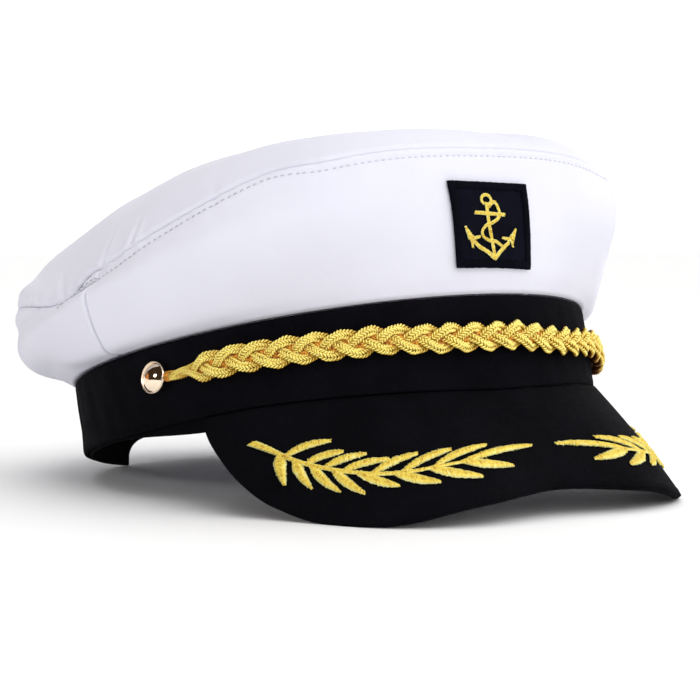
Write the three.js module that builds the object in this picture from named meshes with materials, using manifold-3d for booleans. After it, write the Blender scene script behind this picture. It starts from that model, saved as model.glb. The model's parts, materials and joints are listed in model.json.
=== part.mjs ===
import * as THREE from 'three';
import Module from 'manifold-3d';
import { mergeVertices } from 'three/addons/utils/BufferGeometryUtils.js';

// Captain hat: soft white crown, black band, curved peak, plaited gold cord with two buttons,
// anchor patch and two embroidered laurel branches. Millimetres, +Z up, front towards -Y.
// Angles around the head are in degrees from the front, positive towards +X (wearer's left).

// Band and head opening
const headLength = 198;
const headWidth = 184.6;
const bandHeight = 30;
const bandWall = 2;
const notchAngle = 28;
const notchHeight = 13;
const sweatbandWall = 1.2;
const sweatbandHeight = 22;

// Crown
const crownWall = 1.6;
const crownOverhang = 22;
const frontRise = 48.6;
const crownHeight = 64.5;
const crownPuff = 22;
const apexOffset = 5.5;
const sideSeamAngle = 83;

// Peak
const peakReach = 57.5;
const peakWall = 2.6;
const peakCorner = 65;
const peakBulge = 1.3;

// Plaited cord and its buttons
const plaitHeight = 10.4;
const plaitDepth = 5.6;
const plaitLobe = 9;
const cordThickness = 3.6;
const cordEndLength = 12;
const buttonAngle = 75.5;
const buttonDiameter = 12;
const buttonHeight = 3.6;

// Patch and embroidery
const patchWidth = 32;
const patchHeight = 28.5;
const patchWall = 1.2;
const patchCentre = 22.3;
const patchLean = -1.5;
const patchSlant = 0.09;
const patchOffset = -2.3;
const anchorRelief = 0.8;
const anchorStroke = 1.8;
const laurelRelief = 0.9;
const leafWidth = 4;
const stemWidth = 1.8;

// Gap kept between neighbouring pieces, and the steps that the surfaces are drawn with
const clearance = 0.3;
const columnStep = 6;
const reliefStep = 4;

// Crown sections: out is a share of crownOverhang, up a share of frontRise, puff of crownPuff.
// The panel leaves the band, turns at low, is widest at wide and ends in the top seam.
const crownSections = [
  { angle: 0, lowOut: 0.19, lowUp: 0.2, wideOut: 0.37, wideUp: 0.6, seamOut: 0.41, seamUp: 1, puff: 0.39 },
  { angle: 35, lowOut: 0.24, lowUp: 0.16, wideOut: 0.73, wideUp: 0.56, seamOut: 0.73, seamUp: 0.93, puff: 0.56 },
  { angle: 65, lowOut: 0.34, lowUp: 0.09, wideOut: 0.76, wideUp: 0.44, seamOut: 0.64, seamUp: 0.65, puff: 0.88 },
  { angle: 90, lowOut: 0.42, lowUp: 0.04, wideOut: 0.8, wideUp: 0.35, seamOut: 0.59, seamUp: 0.45, puff: 0.88 },
  { angle: 115, lowOut: 0.48, lowUp: 0.04, wideOut: 0.84, wideUp: 0.27, seamOut: 0.84, seamUp: 0.53, puff: 0.48 },
  { angle: 145, lowOut: 0.5, lowUp: 0.07, wideOut: 0.91, wideUp: 0.26, seamOut: 0.81, seamUp: 0.47, puff: 0.4 },
  { angle: 180, lowOut: 0.57, lowUp: 0.05, wideOut: 0.97, wideUp: 0.27, seamOut: 0.74, seamUp: 0.44, puff: 0.4 },
];

// Lower edge of the band and of the strip inside it, as shares of bandHeight above its datum
const edgeSections = [
  { angle: 0, band: -0.07, strip: -0.03 },
  { angle: 28, band: 0, strip: 0.03 },
  { angle: 50, band: 0.06, strip: -0.02 },
  { angle: 64, band: 0.07, strip: -0.09 },
  { angle: 90, band: 0.09, strip: 0.06 },
  { angle: 120, band: 0.13, strip: 0.1 },
  { angle: 180, band: 0.13, strip: 0.1 },
];

// Peak sections: share of the way to the corner, reach as a share of peakReach, droop in
// degrees below the band's plane, heading as a share of the section's own angle
const peakSections = [
  { share: 0, reach: 0.71, droop: 60, heading: 0.51 },
  { share: 0.3, reach: 0.865, droop: 53.5, heading: 0.48 },
  { share: 0.6, reach: 0.99, droop: 56, heading: 0.3 },
  { share: 0.85, reach: 0.98, droop: 61, heading: 0.28 },
  { share: 1, reach: 0.98, droop: 46, heading: 0.5 },
];

// Height of the cord's centre line on the band, as a share of bandHeight
const cordSections = [
  { angle: -76, height: 0.6 },
  { angle: -55, height: 0.61 },
  { angle: -36, height: 0.6 },
  { angle: -15, height: 0.53 },
  { angle: 5, height: 0.49 },
  { angle: 20, height: 0.42 },
  { angle: 36, height: 0.32 },
  { angle: 56, height: 0.4 },
  { angle: 76, height: 0.6 },
];

// Laurel branch on one side of the peak: along is the share of the way from the peak's middle
// to its corner, out the share of the way from the band to the rim
const laurelStem = [
  { along: 0.27, out: 0.675 },
  { along: 0.45, out: 0.675 },
  { along: 0.6, out: 0.63 },
  { along: 0.74, out: 0.53 },
  { along: 0.88, out: 0.39 },
];

// Its leaves, first the inner row and then the outer one: each grows from the stem to a tip
const laurelLeaves = [
  { along: 0.79, tipAlong: 0.64, tipOut: 0.355 },
  { along: 0.73, tipAlong: 0.62, tipOut: 0.45 },
  { along: 0.68, tipAlong: 0.56, tipOut: 0.485 },
  { along: 0.63, tipAlong: 0.505, tipOut: 0.55 },
  { along: 0.56, tipAlong: 0.42, tipOut: 0.545 },
  { along: 0.475, tipAlong: 0.32, tipOut: 0.555 },
  { along: 0.38, tipAlong: 0.205, tipOut: 0.555 },
  { along: 0.31, tipAlong: 0.045, tipOut: 0.61 },
  { along: 0.82, tipAlong: 0.81, tipOut: 0.75 },
  { along: 0.77, tipAlong: 0.74, tipOut: 0.74 },
  { along: 0.72, tipAlong: 0.67, tipOut: 0.76 },
  { along: 0.67, tipAlong: 0.61, tipOut: 0.78 },
  { along: 0.62, tipAlong: 0.51, tipOut: 0.755 },
  { along: 0.52, tipAlong: 0.395, tipOut: 0.79 },
  { along: 0.42, tipAlong: 0.27, tipOut: 0.81 },
  { along: 0.31, tipAlong: 0.13, tipOut: 0.78 },
];

// Anchor strokes: across is a share of patchWidth and up of patchHeight from the patch's
// centre, width a share of anchorStroke, height a share of anchorRelief
const anchorStrokes = [
  { name: 'shank', width: 1, height: 1, path: [[-0.068, 0.24], [0, -0.38]] },
  { name: 'stock', width: 0.8, height: 0.9, path: [[-0.23, 0.13], [0.17, 0.115]] },
  { name: 'left arm', width: 1, height: 0.95, path: [[0.015, -0.385], [-0.18, -0.265], [-0.26, -0.18]] },
  { name: 'right arm', width: 1, height: 0.9, path: [[-0.015, -0.385], [0.12, -0.27], [0.21, -0.18]] },
  {
    name: 'rope above the stock',
    width: 0.7,
    height: 1.2,
    path: [[-0.05, 0.19], [0.025, 0.255], [0.06, 0.24], [0.095, 0.15], [0.085, 0.09], [-0.03, 0.01]],
  },
  {
    name: 'rope below the stock',
    width: 0.7,
    height: 1.2,
    path: [[-0.03, 0.01], [-0.1, -0.015], [-0.155, -0.08], [-0.14, -0.14], [-0.07, -0.185], [0.01, -0.19], [0.11, -0.25]],
  },
];
const anchorRing = { across: -0.065, up: 0.28, radius: 0.057 };
const anchorFluke = { middle: -0.03, tip: [0.33, -0.035], foot: [0.2, -0.2], spread: 0.15 };

const halfLength = headLength / 2;
const halfWidth = headWidth / 2;
const radians = THREE.MathUtils.degToRad;

const cloth = (colour, roughness) => new THREE.MeshStandardMaterial({ color: colour, roughness });
const metal = (colour, roughness) => new THREE.MeshStandardMaterial({ color: colour, roughness, metalness: 1 });

const wasm = await Module();
wasm.setup();

// Value of a table's column at a place between its rows, on a smooth curve through them.
// The curve is level at both ends, as it is at the front and back of the hat.
function readTable(rows, key, column, place) {
  const last = rows.length - 1;
  const slope = (i) => {
    if (i === 0 || i === last) return 0;
    return (rows[i + 1][column] - rows[i - 1][column]) / (rows[i + 1][key] - rows[i - 1][key]);
  };
  const at = THREE.MathUtils.clamp(place, rows[0][key], rows[last][key]);
  let i = 0;
  while (i < last - 1 && at > rows[i + 1][key]) i += 1;
  const span = rows[i + 1][key] - rows[i][key];
  const t = (at - rows[i][key]) / span;
  const rest = 1 - t;
  return (
    rows[i][column] * (1 + 2 * t) * rest * rest +
    rows[i + 1][column] * t * t * (3 - 2 * t) +
    slope(i) * span * t * rest * rest -
    slope(i + 1) * span * t * t * rest
  );
}

// Smooth curve through the first point, two middle ones and the last, for t from 0 to 1
function throughFour(values, t) {
  const place = THREE.MathUtils.clamp(t, 0, 1) * 3;
  const i = Math.min(Math.floor(place), 2);
  const slope = (k) => {
    const before = values[Math.max(k - 1, 0)];
    const after = values[Math.min(k + 1, 3)];
    return k === 0 || k === 3 ? after - before : (after - before) / 2;
  };
  const u = place - i;
  const rest = 1 - u;
  return (
    values[i] * (1 + 2 * u) * rest * rest +
    values[i + 1] * u * u * (3 - 2 * u) +
    slope(i) * u * rest * rest -
    slope(i + 1) * u * u * rest
  );
}

// Angle folded to 0 at the front and 180 at the back, for tables that are alike on both sides
function fromFront(angle) {
  return Math.abs(THREE.MathUtils.euclideanModulo(angle + 180, 360) - 180);
}

// Point at a distance outside the band's outer oval
function aroundHead(angle, out, height) {
  const a = radians(angle);
  const outward = outwardOf(angle);
  return new THREE.Vector3(
    halfWidth * Math.sin(a) + out * outward.x,
    -halfLength * Math.cos(a) + out * outward.y,
    height,
  );
}

function outwardOf(angle) {
  const a = radians(angle);
  return new THREE.Vector3(Math.sin(a) / halfWidth, -Math.cos(a) / halfLength, 0).normalize();
}

// Outward normal of a surface given as a function of two parameters
function normalOf(surface, u, v, stepU, stepV) {
  const alongU = surface(u + stepU, v).sub(surface(u - stepU, v));
  const alongV = surface(u, v + stepV).sub(surface(u, v - stepV));
  return alongU.cross(alongV).normalize();
}

// Closed geometry from points and triangles, with equal points joined into one
function closedGeometry(points, triangles) {
  const flat = new THREE.BufferGeometry();
  flat.setAttribute('position', new THREE.Float32BufferAttribute(points.flatMap((p) => p.toArray()), 3));
  flat.setIndex(triangles);
  const merged = mergeVertices(flat, 1e-4);
  const index = Array.from(merged.index.array);
  const kept = [];
  for (let i = 0; i < index.length; i += 3) {
    const [a, b, c] = index.slice(i, i + 3);
    if (a !== b && b !== c && c !== a) kept.push(a, b, c);
  }
  merged.setIndex(kept);
  merged.computeVertexNormals();
  return merged;
}

// Wall between an outer and an inner layer of points, each a list of rows running upwards.
// A closed wall's columns run all the way round.
function wallGeometry(outer, inner, closed) {
  const points = [];
  const number = (rows) => rows.map((row) => row.map((point) => points.push(point) - 1));
  const out = number(outer);
  const back = number(inner);
  const top = outer.length - 1;
  const columns = outer[0].length;
  const triangles = [];
  const quad = (a, b, c, d) => triangles.push(a, b, c, a, c, d);
  const spans = closed ? columns : columns - 1;
  for (let c = 0; c < spans; c += 1) {
    const n = (c + 1) % columns;
    for (let r = 0; r < top; r += 1) {
      quad(out[r][c], out[r][n], out[r + 1][n], out[r + 1][c]);
      quad(back[r][n], back[r][c], back[r + 1][c], back[r + 1][n]);
    }
    quad(back[0][c], back[0][n], out[0][n], out[0][c]);
    quad(out[top][c], out[top][n], back[top][n], back[top][c]);
  }
  if (!closed) {
    const end = columns - 1;
    for (let r = 0; r < top; r += 1) {
      quad(back[r][0], out[r][0], out[r + 1][0], back[r + 1][0]);
      quad(out[r][end], back[r][end], back[r + 1][end], out[r + 1][end]);
    }
  }
  return closedGeometry(points, triangles);
}

// Solid bar through a row of rings, with a flat cap at each end
function barGeometry(rings) {
  const points = rings.flat();
  const size = rings[0].length;
  const triangles = [];
  for (let r = 0; r < rings.length - 1; r += 1) {
    for (let c = 0; c < size; c += 1) {
      const n = (c + 1) % size;
      const a = r * size + c;
      const b = r * size + n;
      triangles.push(a, b, b + size, a, b + size, a + size);
    }
  }
  const lastRing = (rings.length - 1) * size;
  for (let c = 1; c < size - 1; c += 1) {
    triangles.push(0, c + 1, c);
    triangles.push(lastRing, lastRing + c, lastRing + c + 1);
  }
  return closedGeometry(points, triangles);
}

function sequence(from, to, steps) {
  return Array.from({ length: steps + 1 }, (_, i) => from + ((to - from) * i) / steps);
}

function named(name, geometry, material) {
  const mesh = new THREE.Mesh(geometry, material);
  mesh.name = name;
  return mesh;
}

// Crown surface: level 0 at the band, 1 at the top seam, 2 at the middle of the top
function crownPoint(angle, level) {
  const read = (column) => readTable(crownSections, 'angle', column, fromFront(angle));
  const hem = bandHeight + clearance;
  const side = Math.min(level, 1);
  const outs = [0, read('lowOut'), read('wideOut'), read('seamOut')];
  const ups = [0, read('lowUp'), read('wideUp'), read('seamUp')];
  const rim = aroundHead(angle, crownOverhang * throughFour(outs, side), hem + frontRise * throughFour(ups, side));
  if (level <= 1) return rim;
  const share = Math.max(2 - level, 0);
  const apex = hem + crownHeight;
  const puff = crownPuff * read('puff') * 1.6 * share ** 2 * (1 - share ** 6);
  return new THREE.Vector3(
    rim.x * share,
    rim.y * share + apexOffset * (1 - share),
    rim.z * share ** 2 + apex * (1 - share ** 2) + puff,
  );
}

function crownLayer(angle, level, depth) {
  const point = crownPoint(angle, level);
  const normal = level > 1.98 ? new THREE.Vector3(0, 0, 1) : normalOf(crownPoint, angle, level, 1, 0.02);
  return point.addScaledVector(normal, depth);
}

function crownPanel(angles, levels, closed) {
  const layer = (depth) => levels.map((level) => angles.map((angle) => crownLayer(angle, level, depth)));
  return wallGeometry(layer(0), layer(-crownWall), closed);
}

// A panel stops half the clearance short of each seam
const meanRadius = (halfLength + halfWidth) / 2;
const seamLevelGap = clearance / 2 / frontRise;
const seamAngleGap = THREE.MathUtils.radToDeg(clearance / 2 / (meanRadius + crownOverhang / 2));
const sideLevels = [0, 0.12, 0.25, 0.4, 0.56, 0.72, 0.86, 1 - seamLevelGap];
const topLevels = [1 + seamLevelGap, 1.05, 1.13, 1.25, 1.42, 1.62, 1.82, 2];

function panelAngles(from, to) {
  return sequence(from + seamAngleGap, to - seamAngleGap, Math.round((to - from) / columnStep));
}

// Lower edge of the band, cut away in an arch at the back
function notchRise(angle) {
  const across = (180 - fromFront(angle)) / notchAngle;
  return across < 1 ? notchHeight * Math.sqrt(1 - across ** 4) : 0;
}

function bandEdge(angle) {
  return bandHeight * readTable(edgeSections, 'angle', 'band', fromFront(angle)) + notchRise(angle);
}

function stripEdge(angle) {
  return bandHeight * readTable(edgeSections, 'angle', 'strip', fromFront(angle)) + notchRise(angle);
}

// Columns all round, closer together along the arch of the notch
function headAngles() {
  const sides = sequence(-180 + notchAngle, 180 - notchAngle, Math.round((360 - 2 * notchAngle) / columnStep));
  const arch = sequence(180 - notchAngle, 180 + notchAngle, 12).slice(1, -1);
  return [...sides, ...arch];
}

function bandGeometry() {
  const angles = headAngles();
  const layer = (out) =>
    sequence(0, 1, 3).map((share) =>
      angles.map((angle) => aroundHead(angle, out, THREE.MathUtils.lerp(bandEdge(angle), bandHeight, share))));
  return wallGeometry(layer(0), layer(-bandWall), true);
}

function sweatbandGeometry() {
  const angles = headAngles();
  const outer = -bandWall - clearance;
  const layer = (out) =>
    sequence(0, 1, 2).map((share) =>
      angles.map((angle) => aroundHead(angle, out, THREE.MathUtils.lerp(stripEdge(angle), sweatbandHeight, share))));
  return wallGeometry(layer(outer), layer(outer - sweatbandWall), true);
}

// Peak surface: share -1 to 1 from corner to corner, out 0 at the band to 1 at the rim
function peakPoint(share, out) {
  const side = Math.min(Math.abs(share), 1);
  const read = (column) => readTable(peakSections, 'share', column, side);
  const angle = peakCorner * share;
  const course = radians(angle * read('heading'));
  const droop = radians(read('droop'));
  const narrowing = Math.sqrt(1 - side ** 4);
  const reach = peakReach * read('reach') * narrowing * out;
  const swell = peakBulge * narrowing * 4 * out * (1 - out);
  const root = aroundHead(angle, clearance, bandEdge(angle) - clearance);
  const ahead = new THREE.Vector3(Math.sin(course) * Math.cos(droop), -Math.cos(course) * Math.cos(droop), -Math.sin(droop));
  const above = new THREE.Vector3(Math.sin(course) * Math.sin(droop), -Math.cos(course) * Math.sin(droop), Math.cos(droop));
  return root.addScaledVector(ahead, reach).addScaledVector(above, swell);
}

// The outward side of the peak is its upper face, so its columns run from the rim to the band
function peakLayer(share, out, depth) {
  const normal = normalOf(peakPoint, share, out, 0.01, 0.02).negate();
  return peakPoint(share, out).addScaledVector(normal, depth);
}

function peakGeometry() {
  const quarter = (Math.PI / 2) * 0.965;
  const shares = sequence(-quarter, quarter, 32).map((turn) => Math.sin(turn));
  const steps = [1, 0.95, 0.85, 0.7, 0.5, 0.3, 0.14, 0];
  const rounding = (out) => (out === 1 ? peakWall * 0.3 : 0);
  const upper = steps.map((out) => shares.map((share) => peakLayer(share, out, -rounding(out))));
  const lower = steps.map((out) => shares.map((share) => peakLayer(share, out, rounding(out) - peakWall)));
  return wallGeometry(upper, lower, false);
}

// Plaited cord: a lobed bar on the band's front that narrows to the plain cord at each button
function plaitGeometry() {
  const degreesPerMm = 180 / Math.PI / meanRadius;
  const end = buttonAngle - (buttonDiameter / 2 + clearance) * degreesPerMm;
  const shoulder = end - cordEndLength * degreesPerMm;
  const lobeAngle = plaitLobe * degreesPerMm;
  const stations = sequence(-end, end, 82);
  return barGeometry(
    stations.map((angle) => {
      const centre = bandHeight * readTable(cordSections, 'angle', 'height', angle);
      const full = THREE.MathUtils.smoothstep(end - Math.abs(angle), end - shoulder - lobeAngle / 4, end - shoulder + lobeAngle / 4);
      const wave = 0.93 + 0.07 * Math.cos((angle / lobeAngle) * 2 * Math.PI);
      const halfHeight = THREE.MathUtils.lerp(cordThickness / 2, (plaitHeight / 2) * wave, full);
      const halfDepth = THREE.MathUtils.lerp(cordThickness / 2, (plaitDepth / 2) * wave, full);
      const out = clearance + halfDepth;
      return sequence(0, 2 * Math.PI, 7)
        .slice(0, -1)
        .map((turn) => aroundHead(angle, out + halfDepth * Math.cos(turn), centre - halfHeight * Math.sin(turn)));
    }),
  );
}

// Domed button with a rolled rim, turned about the line that points out of the band
function buttonGeometry() {
  const r = buttonDiameter / 2;
  const h = buttonHeight;
  const profile = [
    [0, 0], [r * 0.9, 0], [r, h * 0.2], [r, h * 0.42], [r * 0.93, h * 0.56], [r * 0.82, h * 0.56],
    [r * 0.76, h * 0.64], [r * 0.55, h * 0.86], [r * 0.28, h * 0.97], [0, h],
  ].map(([x, y]) => new THREE.Vector2(x, y));
  const turned = new THREE.LatheGeometry(profile, 16);
  turned.deleteAttribute('normal');
  turned.deleteAttribute('uv');
  const points = [];
  const place = turned.attributes.position;
  for (let i = 0; i < place.count; i += 1) points.push(new THREE.Vector3().fromBufferAttribute(place, i));
  return closedGeometry(points, Array.from(turned.index.array));
}

function button(name, angle) {
  const mesh = named(name, buttonGeometry(), metal(0xd9a066, 0.15));
  const outward = outwardOf(angle);
  const height = bandHeight * readTable(cordSections, 'angle', 'height', angle);
  mesh.position.copy(aroundHead(angle, clearance, height));
  mesh.quaternion.setFromUnitVectors(new THREE.Vector3(0, 1, 0), outward);
  return mesh;
}

// Angle and level where the crown's front passes a distance across and a height above the band
function crownAddress(across, height) {
  let angle = THREE.MathUtils.radToDeg(across / halfWidth);
  let level = height / frontRise;
  for (let round = 0; round < 8; round += 1) {
    const point = crownPoint(angle, level);
    angle += THREE.MathUtils.radToDeg((across - point.x) / (halfWidth + crownOverhang / 2));
    level += (bandHeight + height - point.z) / frontRise;
  }
  return [angle, level];
}

// Point over the patch's place on the crown, from millimetres across and up on the patch
function patchPoint(across, up, lift) {
  const slanted = new THREE.Vector2(across - patchSlant * up, up);
  const turned = slanted.rotateAround(new THREE.Vector2(), radians(patchLean));
  const [angle, level] = crownAddress(patchOffset + turned.x, patchCentre + turned.y);
  return crownLayer(angle, level, lift);
}

function patchGeometry() {
  const ups = sequence(-patchHeight / 2, patchHeight / 2, 6);
  const acrosses = sequence(-patchWidth / 2, patchWidth / 2, 6);
  const layer = (lift) => ups.map((up) => acrosses.map((across) => patchPoint(across, up, lift)));
  return wallGeometry(layer(clearance + patchWall), layer(clearance), false);
}

// Low bar on a surface: its centre line and widths are drawn flat, and place(x, y, height)
// lays each point down
function reliefBar(line, widths, height, place) {
  const rings = line.map((centre, i) => {
    const before = line[Math.max(i - 1, 0)];
    const after = line[Math.min(i + 1, line.length - 1)];
    const sideways = after.clone().sub(before).normalize().rotateAround(new THREE.Vector2(), Math.PI / 2);
    const edge = (sign, lift) => {
      const point = centre.clone().addScaledVector(sideways, (sign * widths[i]) / 2);
      return place(point.x, point.y, lift);
    };
    return [edge(1, height), edge(-1, height), edge(-1, 0), edge(1, 0)];
  });
  return barGeometry(rings);
}

// Bar along a smooth path, with a width that changes evenly from start to end
function strokeBar(path, startWidth, endWidth, height, place) {
  const curve = new THREE.SplineCurve(path);
  const steps = Math.max(Math.ceil(curve.getLength() / reliefStep), 2);
  const shares = sequence(0, 1, steps);
  const line = shares.map((share) => curve.getPointAt(share));
  const widths = shares.map((share) => THREE.MathUtils.lerp(startWidth, endWidth, share));
  return reliefBar(line, widths, height, place);
}

// Leaf pointed at both ends and widest before its middle
function leafBar(base, tip, width, height, place) {
  const profile = [[0, 0.25], [0.2, 0.75], [0.45, 1], [0.75, 0.65], [1, 0.1]];
  const line = profile.map(([share]) => base.clone().lerp(tip, share));
  const widths = profile.map(([, share]) => share * width);
  return reliefBar(line, widths, height, place);
}

// One solid from several that run into each other
function joinedGeometry(pieces) {
  const solids = pieces.map((piece) => new wasm.Manifold(new wasm.Mesh({
    numProp: 3,
    vertProperties: new Float32Array(piece.attributes.position.array),
    triVerts: new Uint32Array(piece.index.array),
  })));
  const mesh = solids.reduce((joined, solid) => joined.add(solid)).getMesh();
  const geometry = new THREE.BufferGeometry();
  geometry.setAttribute('position', new THREE.Float32BufferAttribute(mesh.vertProperties, 3));
  geometry.setIndex(Array.from(mesh.triVerts));
  geometry.computeVertexNormals();
  return geometry;
}

function anchorGeometry() {
  const onPatch = ([across, up]) => new THREE.Vector2(across * patchWidth, up * patchHeight);
  const lift = 2 * clearance + patchWall;
  const place = (across, up, height) => patchPoint(across, up, lift + height);
  const pieces = anchorStrokes.map(({ width, height, path }) => {
    const stroke = width * anchorStroke;
    return strokeBar(path.map(onPatch), stroke, stroke, height * anchorRelief, place);
  });
  for (const side of [-1, 1]) {
    const { middle, tip, foot, spread } = anchorFluke;
    const mirrored = ([across, up]) => onPatch([middle + side * across, up]);
    pieces.push(strokeBar([mirrored(tip), mirrored(foot)], anchorStroke / 4, spread * patchWidth, anchorRelief, place));
  }
  const eye = onPatch([anchorRing.across, anchorRing.up]);
  const circle = (radius, height) =>
    sequence(0, 2 * Math.PI, 16).slice(0, -1).map((turn) =>
      place(eye.x + radius * Math.cos(turn), eye.y + radius * Math.sin(turn), height));
  const radius = anchorRing.radius * patchHeight;
  const rows = (r) => [circle(r, 0), circle(r, anchorRelief)];
  pieces.push(wallGeometry(rows(radius + anchorStroke / 3), rows(radius - anchorStroke / 3), true));
  return joinedGeometry(pieces);
}

// The branches are drawn flat in millimetres: x along the arc half way down the peak, y from
// the rim back to the band
const peakArc = radians(peakCorner) * (meanRadius + 0.3 * peakReach);

function laurelGeometry(side) {
  const flat = (along, out) => new THREE.Vector2(side * along * peakArc, -out * peakReach);
  const place = (x, y, height) => peakLayer(x / peakArc, -y / peakReach, clearance + height);
  const onStem = (along) => flat(along, readTable(laurelStem, 'along', 'out', along));
  const butt = laurelStem[laurelStem.length - 1].along;
  const stemPath = sequence(butt, laurelStem[0].along, 6).map(onStem);
  const stem = strokeBar(stemPath, stemWidth * 1.5, stemWidth * 0.6, laurelRelief * 1.2, place);
  const leaves = laurelLeaves.map(({ along, tipAlong, tipOut }) =>
    leafBar(onStem(along), flat(tipAlong, tipOut), leafWidth, laurelRelief, place));
  return joinedGeometry([stem, ...leaves]);
}

// The hat in its own frame, band level and centred on the head opening
const white = cloth(0xf1f1f6, 0.85);
const black = cloth(0x0f1014, 0.9);
const gold = cloth(0xe3b93a, 0.6);
const hat = new THREE.Group();
hat.add(
  named('crown_front', crownPanel(panelAngles(-sideSeamAngle, sideSeamAngle), sideLevels, false), white),
  named('crown_back', crownPanel(panelAngles(sideSeamAngle, 360 - sideSeamAngle), sideLevels, false), white),
  named('crown_top', crownPanel(sequence(-180, 180 - columnStep, 360 / columnStep - 1), topLevels, true), white),
  named('band', bandGeometry(), black),
  named('sweatband', sweatbandGeometry(), cloth(0x08080b, 0.95)),
  named('peak', peakGeometry(), cloth(0x111218, 0.8)),
  named('braid', plaitGeometry(), gold),
  button('button_left', buttonAngle),
  button('button_right', -buttonAngle),
  named('patch', patchGeometry(), cloth(0x0c0e18, 0.9)),
  named('anchor', anchorGeometry(), gold),
  named('laurel_left', laurelGeometry(1), gold),
  named('laurel_right', laurelGeometry(-1), gold),
);

// The hat rests on the lowest points of the peak and on the back of the band: it is leant
// back until both are level
function lowestPoint(turn, isFront) {
  let lowest = null;
  hat.traverse((piece) => {
    if (!piece.isMesh) return;
    piece.updateMatrix();
    const place = piece.geometry.attributes.position;
    for (let i = 0; i < place.count; i += 1) {
      const point = new THREE.Vector3().fromBufferAttribute(place, i).applyMatrix4(piece.matrix);
      if (point.y < 0 !== isFront) continue;
      point.applyEuler(new THREE.Euler(turn, 0, 0));
      if (!lowest || point.z < lowest.z) lowest = point;
    }
  });
  return lowest;
}

let lean = 0;
for (let round = 0; round < 12; round += 1) {
  const front = lowestPoint(lean, true);
  const back = lowestPoint(lean, false);
  lean -= Math.atan2(back.z - front.z, back.y - front.y);
}
hat.rotation.x = lean;

// Origin on the ground under the middle of the hat
const captainHat = new THREE.Group();
captainHat.add(hat);
captainHat.updateMatrixWorld(true);
const bounds = new THREE.Box3().setFromObject(captainHat, true);
hat.position.set(-(bounds.min.x + bounds.max.x) / 2, -(bounds.min.y + bounds.max.y) / 2, -bounds.min.z);

export default captainHat;
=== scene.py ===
# Captain hat: cloth, plaited cord, buttons and embroidery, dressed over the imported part.
# Shapes are worked out in millimetres in the hat's own frame, band level and centred on the
# head opening, front towards -Y, and then laid down as the hat rests on the floor.
import json

import bpy
import numpy as np
from mathutils import Matrix
from numpy import clip, concatenate, cos, exp, linspace, pi, sin, stack


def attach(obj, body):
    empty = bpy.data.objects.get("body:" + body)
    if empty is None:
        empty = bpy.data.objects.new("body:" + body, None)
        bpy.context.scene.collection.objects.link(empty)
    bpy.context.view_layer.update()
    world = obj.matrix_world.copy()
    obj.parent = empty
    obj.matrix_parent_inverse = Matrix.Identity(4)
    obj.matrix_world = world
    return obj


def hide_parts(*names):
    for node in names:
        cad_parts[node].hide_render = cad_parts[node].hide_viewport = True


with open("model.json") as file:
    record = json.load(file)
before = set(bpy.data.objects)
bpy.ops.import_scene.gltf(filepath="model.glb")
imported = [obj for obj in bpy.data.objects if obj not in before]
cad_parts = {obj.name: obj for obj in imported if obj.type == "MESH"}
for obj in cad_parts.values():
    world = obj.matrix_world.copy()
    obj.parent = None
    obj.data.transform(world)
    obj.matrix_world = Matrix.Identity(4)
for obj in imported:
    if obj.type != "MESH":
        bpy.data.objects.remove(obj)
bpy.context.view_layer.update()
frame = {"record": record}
rng = np.random.default_rng(7)

# Sizes of the part
HALF_LENGTH, HALF_WIDTH = 99.0, 92.3
BAND_HEIGHT, BAND_WALL = 30.0, 2.0
NOTCH_ANGLE, NOTCH_HEIGHT = 28.0, 13.0
STRIP_WALL, STRIP_HEIGHT = 1.2, 22.0
CROWN_WALL, CROWN_OVERHANG = 1.6, 22.0
FRONT_RISE, CROWN_HEIGHT, CROWN_PUFF, APEX_OFFSET = 48.6, 64.5, 22.0, 5.5
SIDE_SEAM_ANGLE = 83.0
PEAK_REACH, PEAK_WALL, PEAK_CORNER, PEAK_BULGE = 57.5, 2.6, 65.0, 1.3
PLAIT_HEIGHT, PLAIT_DEPTH, PLAIT_LOBE = 10.4, 5.6, 9.0
CORD_THICKNESS, CORD_END = 3.6, 12.0
BUTTON_ANGLE, BUTTON_RADIUS, BUTTON_HEIGHT = 75.5, 6.0, 3.6
PATCH_WIDTH, PATCH_HEIGHT, PATCH_WALL = 32.0, 28.5, 1.2
PATCH_CENTRE, PATCH_LEAN, PATCH_SLANT, PATCH_OFFSET = 22.3, -1.5, 0.09, -2.3
CLEARANCE = 0.3
# How the sewn hat differs from the plain solids
PATCH_TAPER, PATCH_SKEW, PATCH_SHIFT = 0.06, 0.03, 0.5
PATCH_CUT_WIDTH, PATCH_CUT_HEIGHT = 0.985, 0.957
SEAM_LIFT, SEAM_LIFT_BEHIND, SEAM_KICK, SEAM_LEAN, STITCH_DROP = 3.5, 3.3, 1.5, 2.8, 3.4
MEAN_RADIUS = (HALF_LENGTH + HALF_WIDTH) / 2
DEGREES_PER_MM = np.degrees(1 / MEAN_RADIUS)
PEAK_ARC = np.radians(PEAK_CORNER) * (MEAN_RADIUS + 0.3 * PEAK_REACH)

# angle, lowOut, lowUp, wideOut, wideUp, seamOut, seamUp, puff
CROWN = np.array([
    [0, 0.19, 0.2, 0.37, 0.6, 0.41, 1, 0.39],
    [35, 0.24, 0.16, 0.73, 0.56, 0.73, 0.93, 0.56],
    [65, 0.34, 0.09, 0.76, 0.44, 0.64, 0.65, 0.88],
    [90, 0.42, 0.04, 0.8, 0.35, 0.59, 0.45, 0.88],
    [115, 0.48, 0.04, 0.84, 0.27, 0.84, 0.53, 0.48],
    [145, 0.5, 0.07, 0.91, 0.26, 0.81, 0.47, 0.4],
    [180, 0.57, 0.05, 0.97, 0.27, 0.74, 0.44, 0.4],
])
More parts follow.
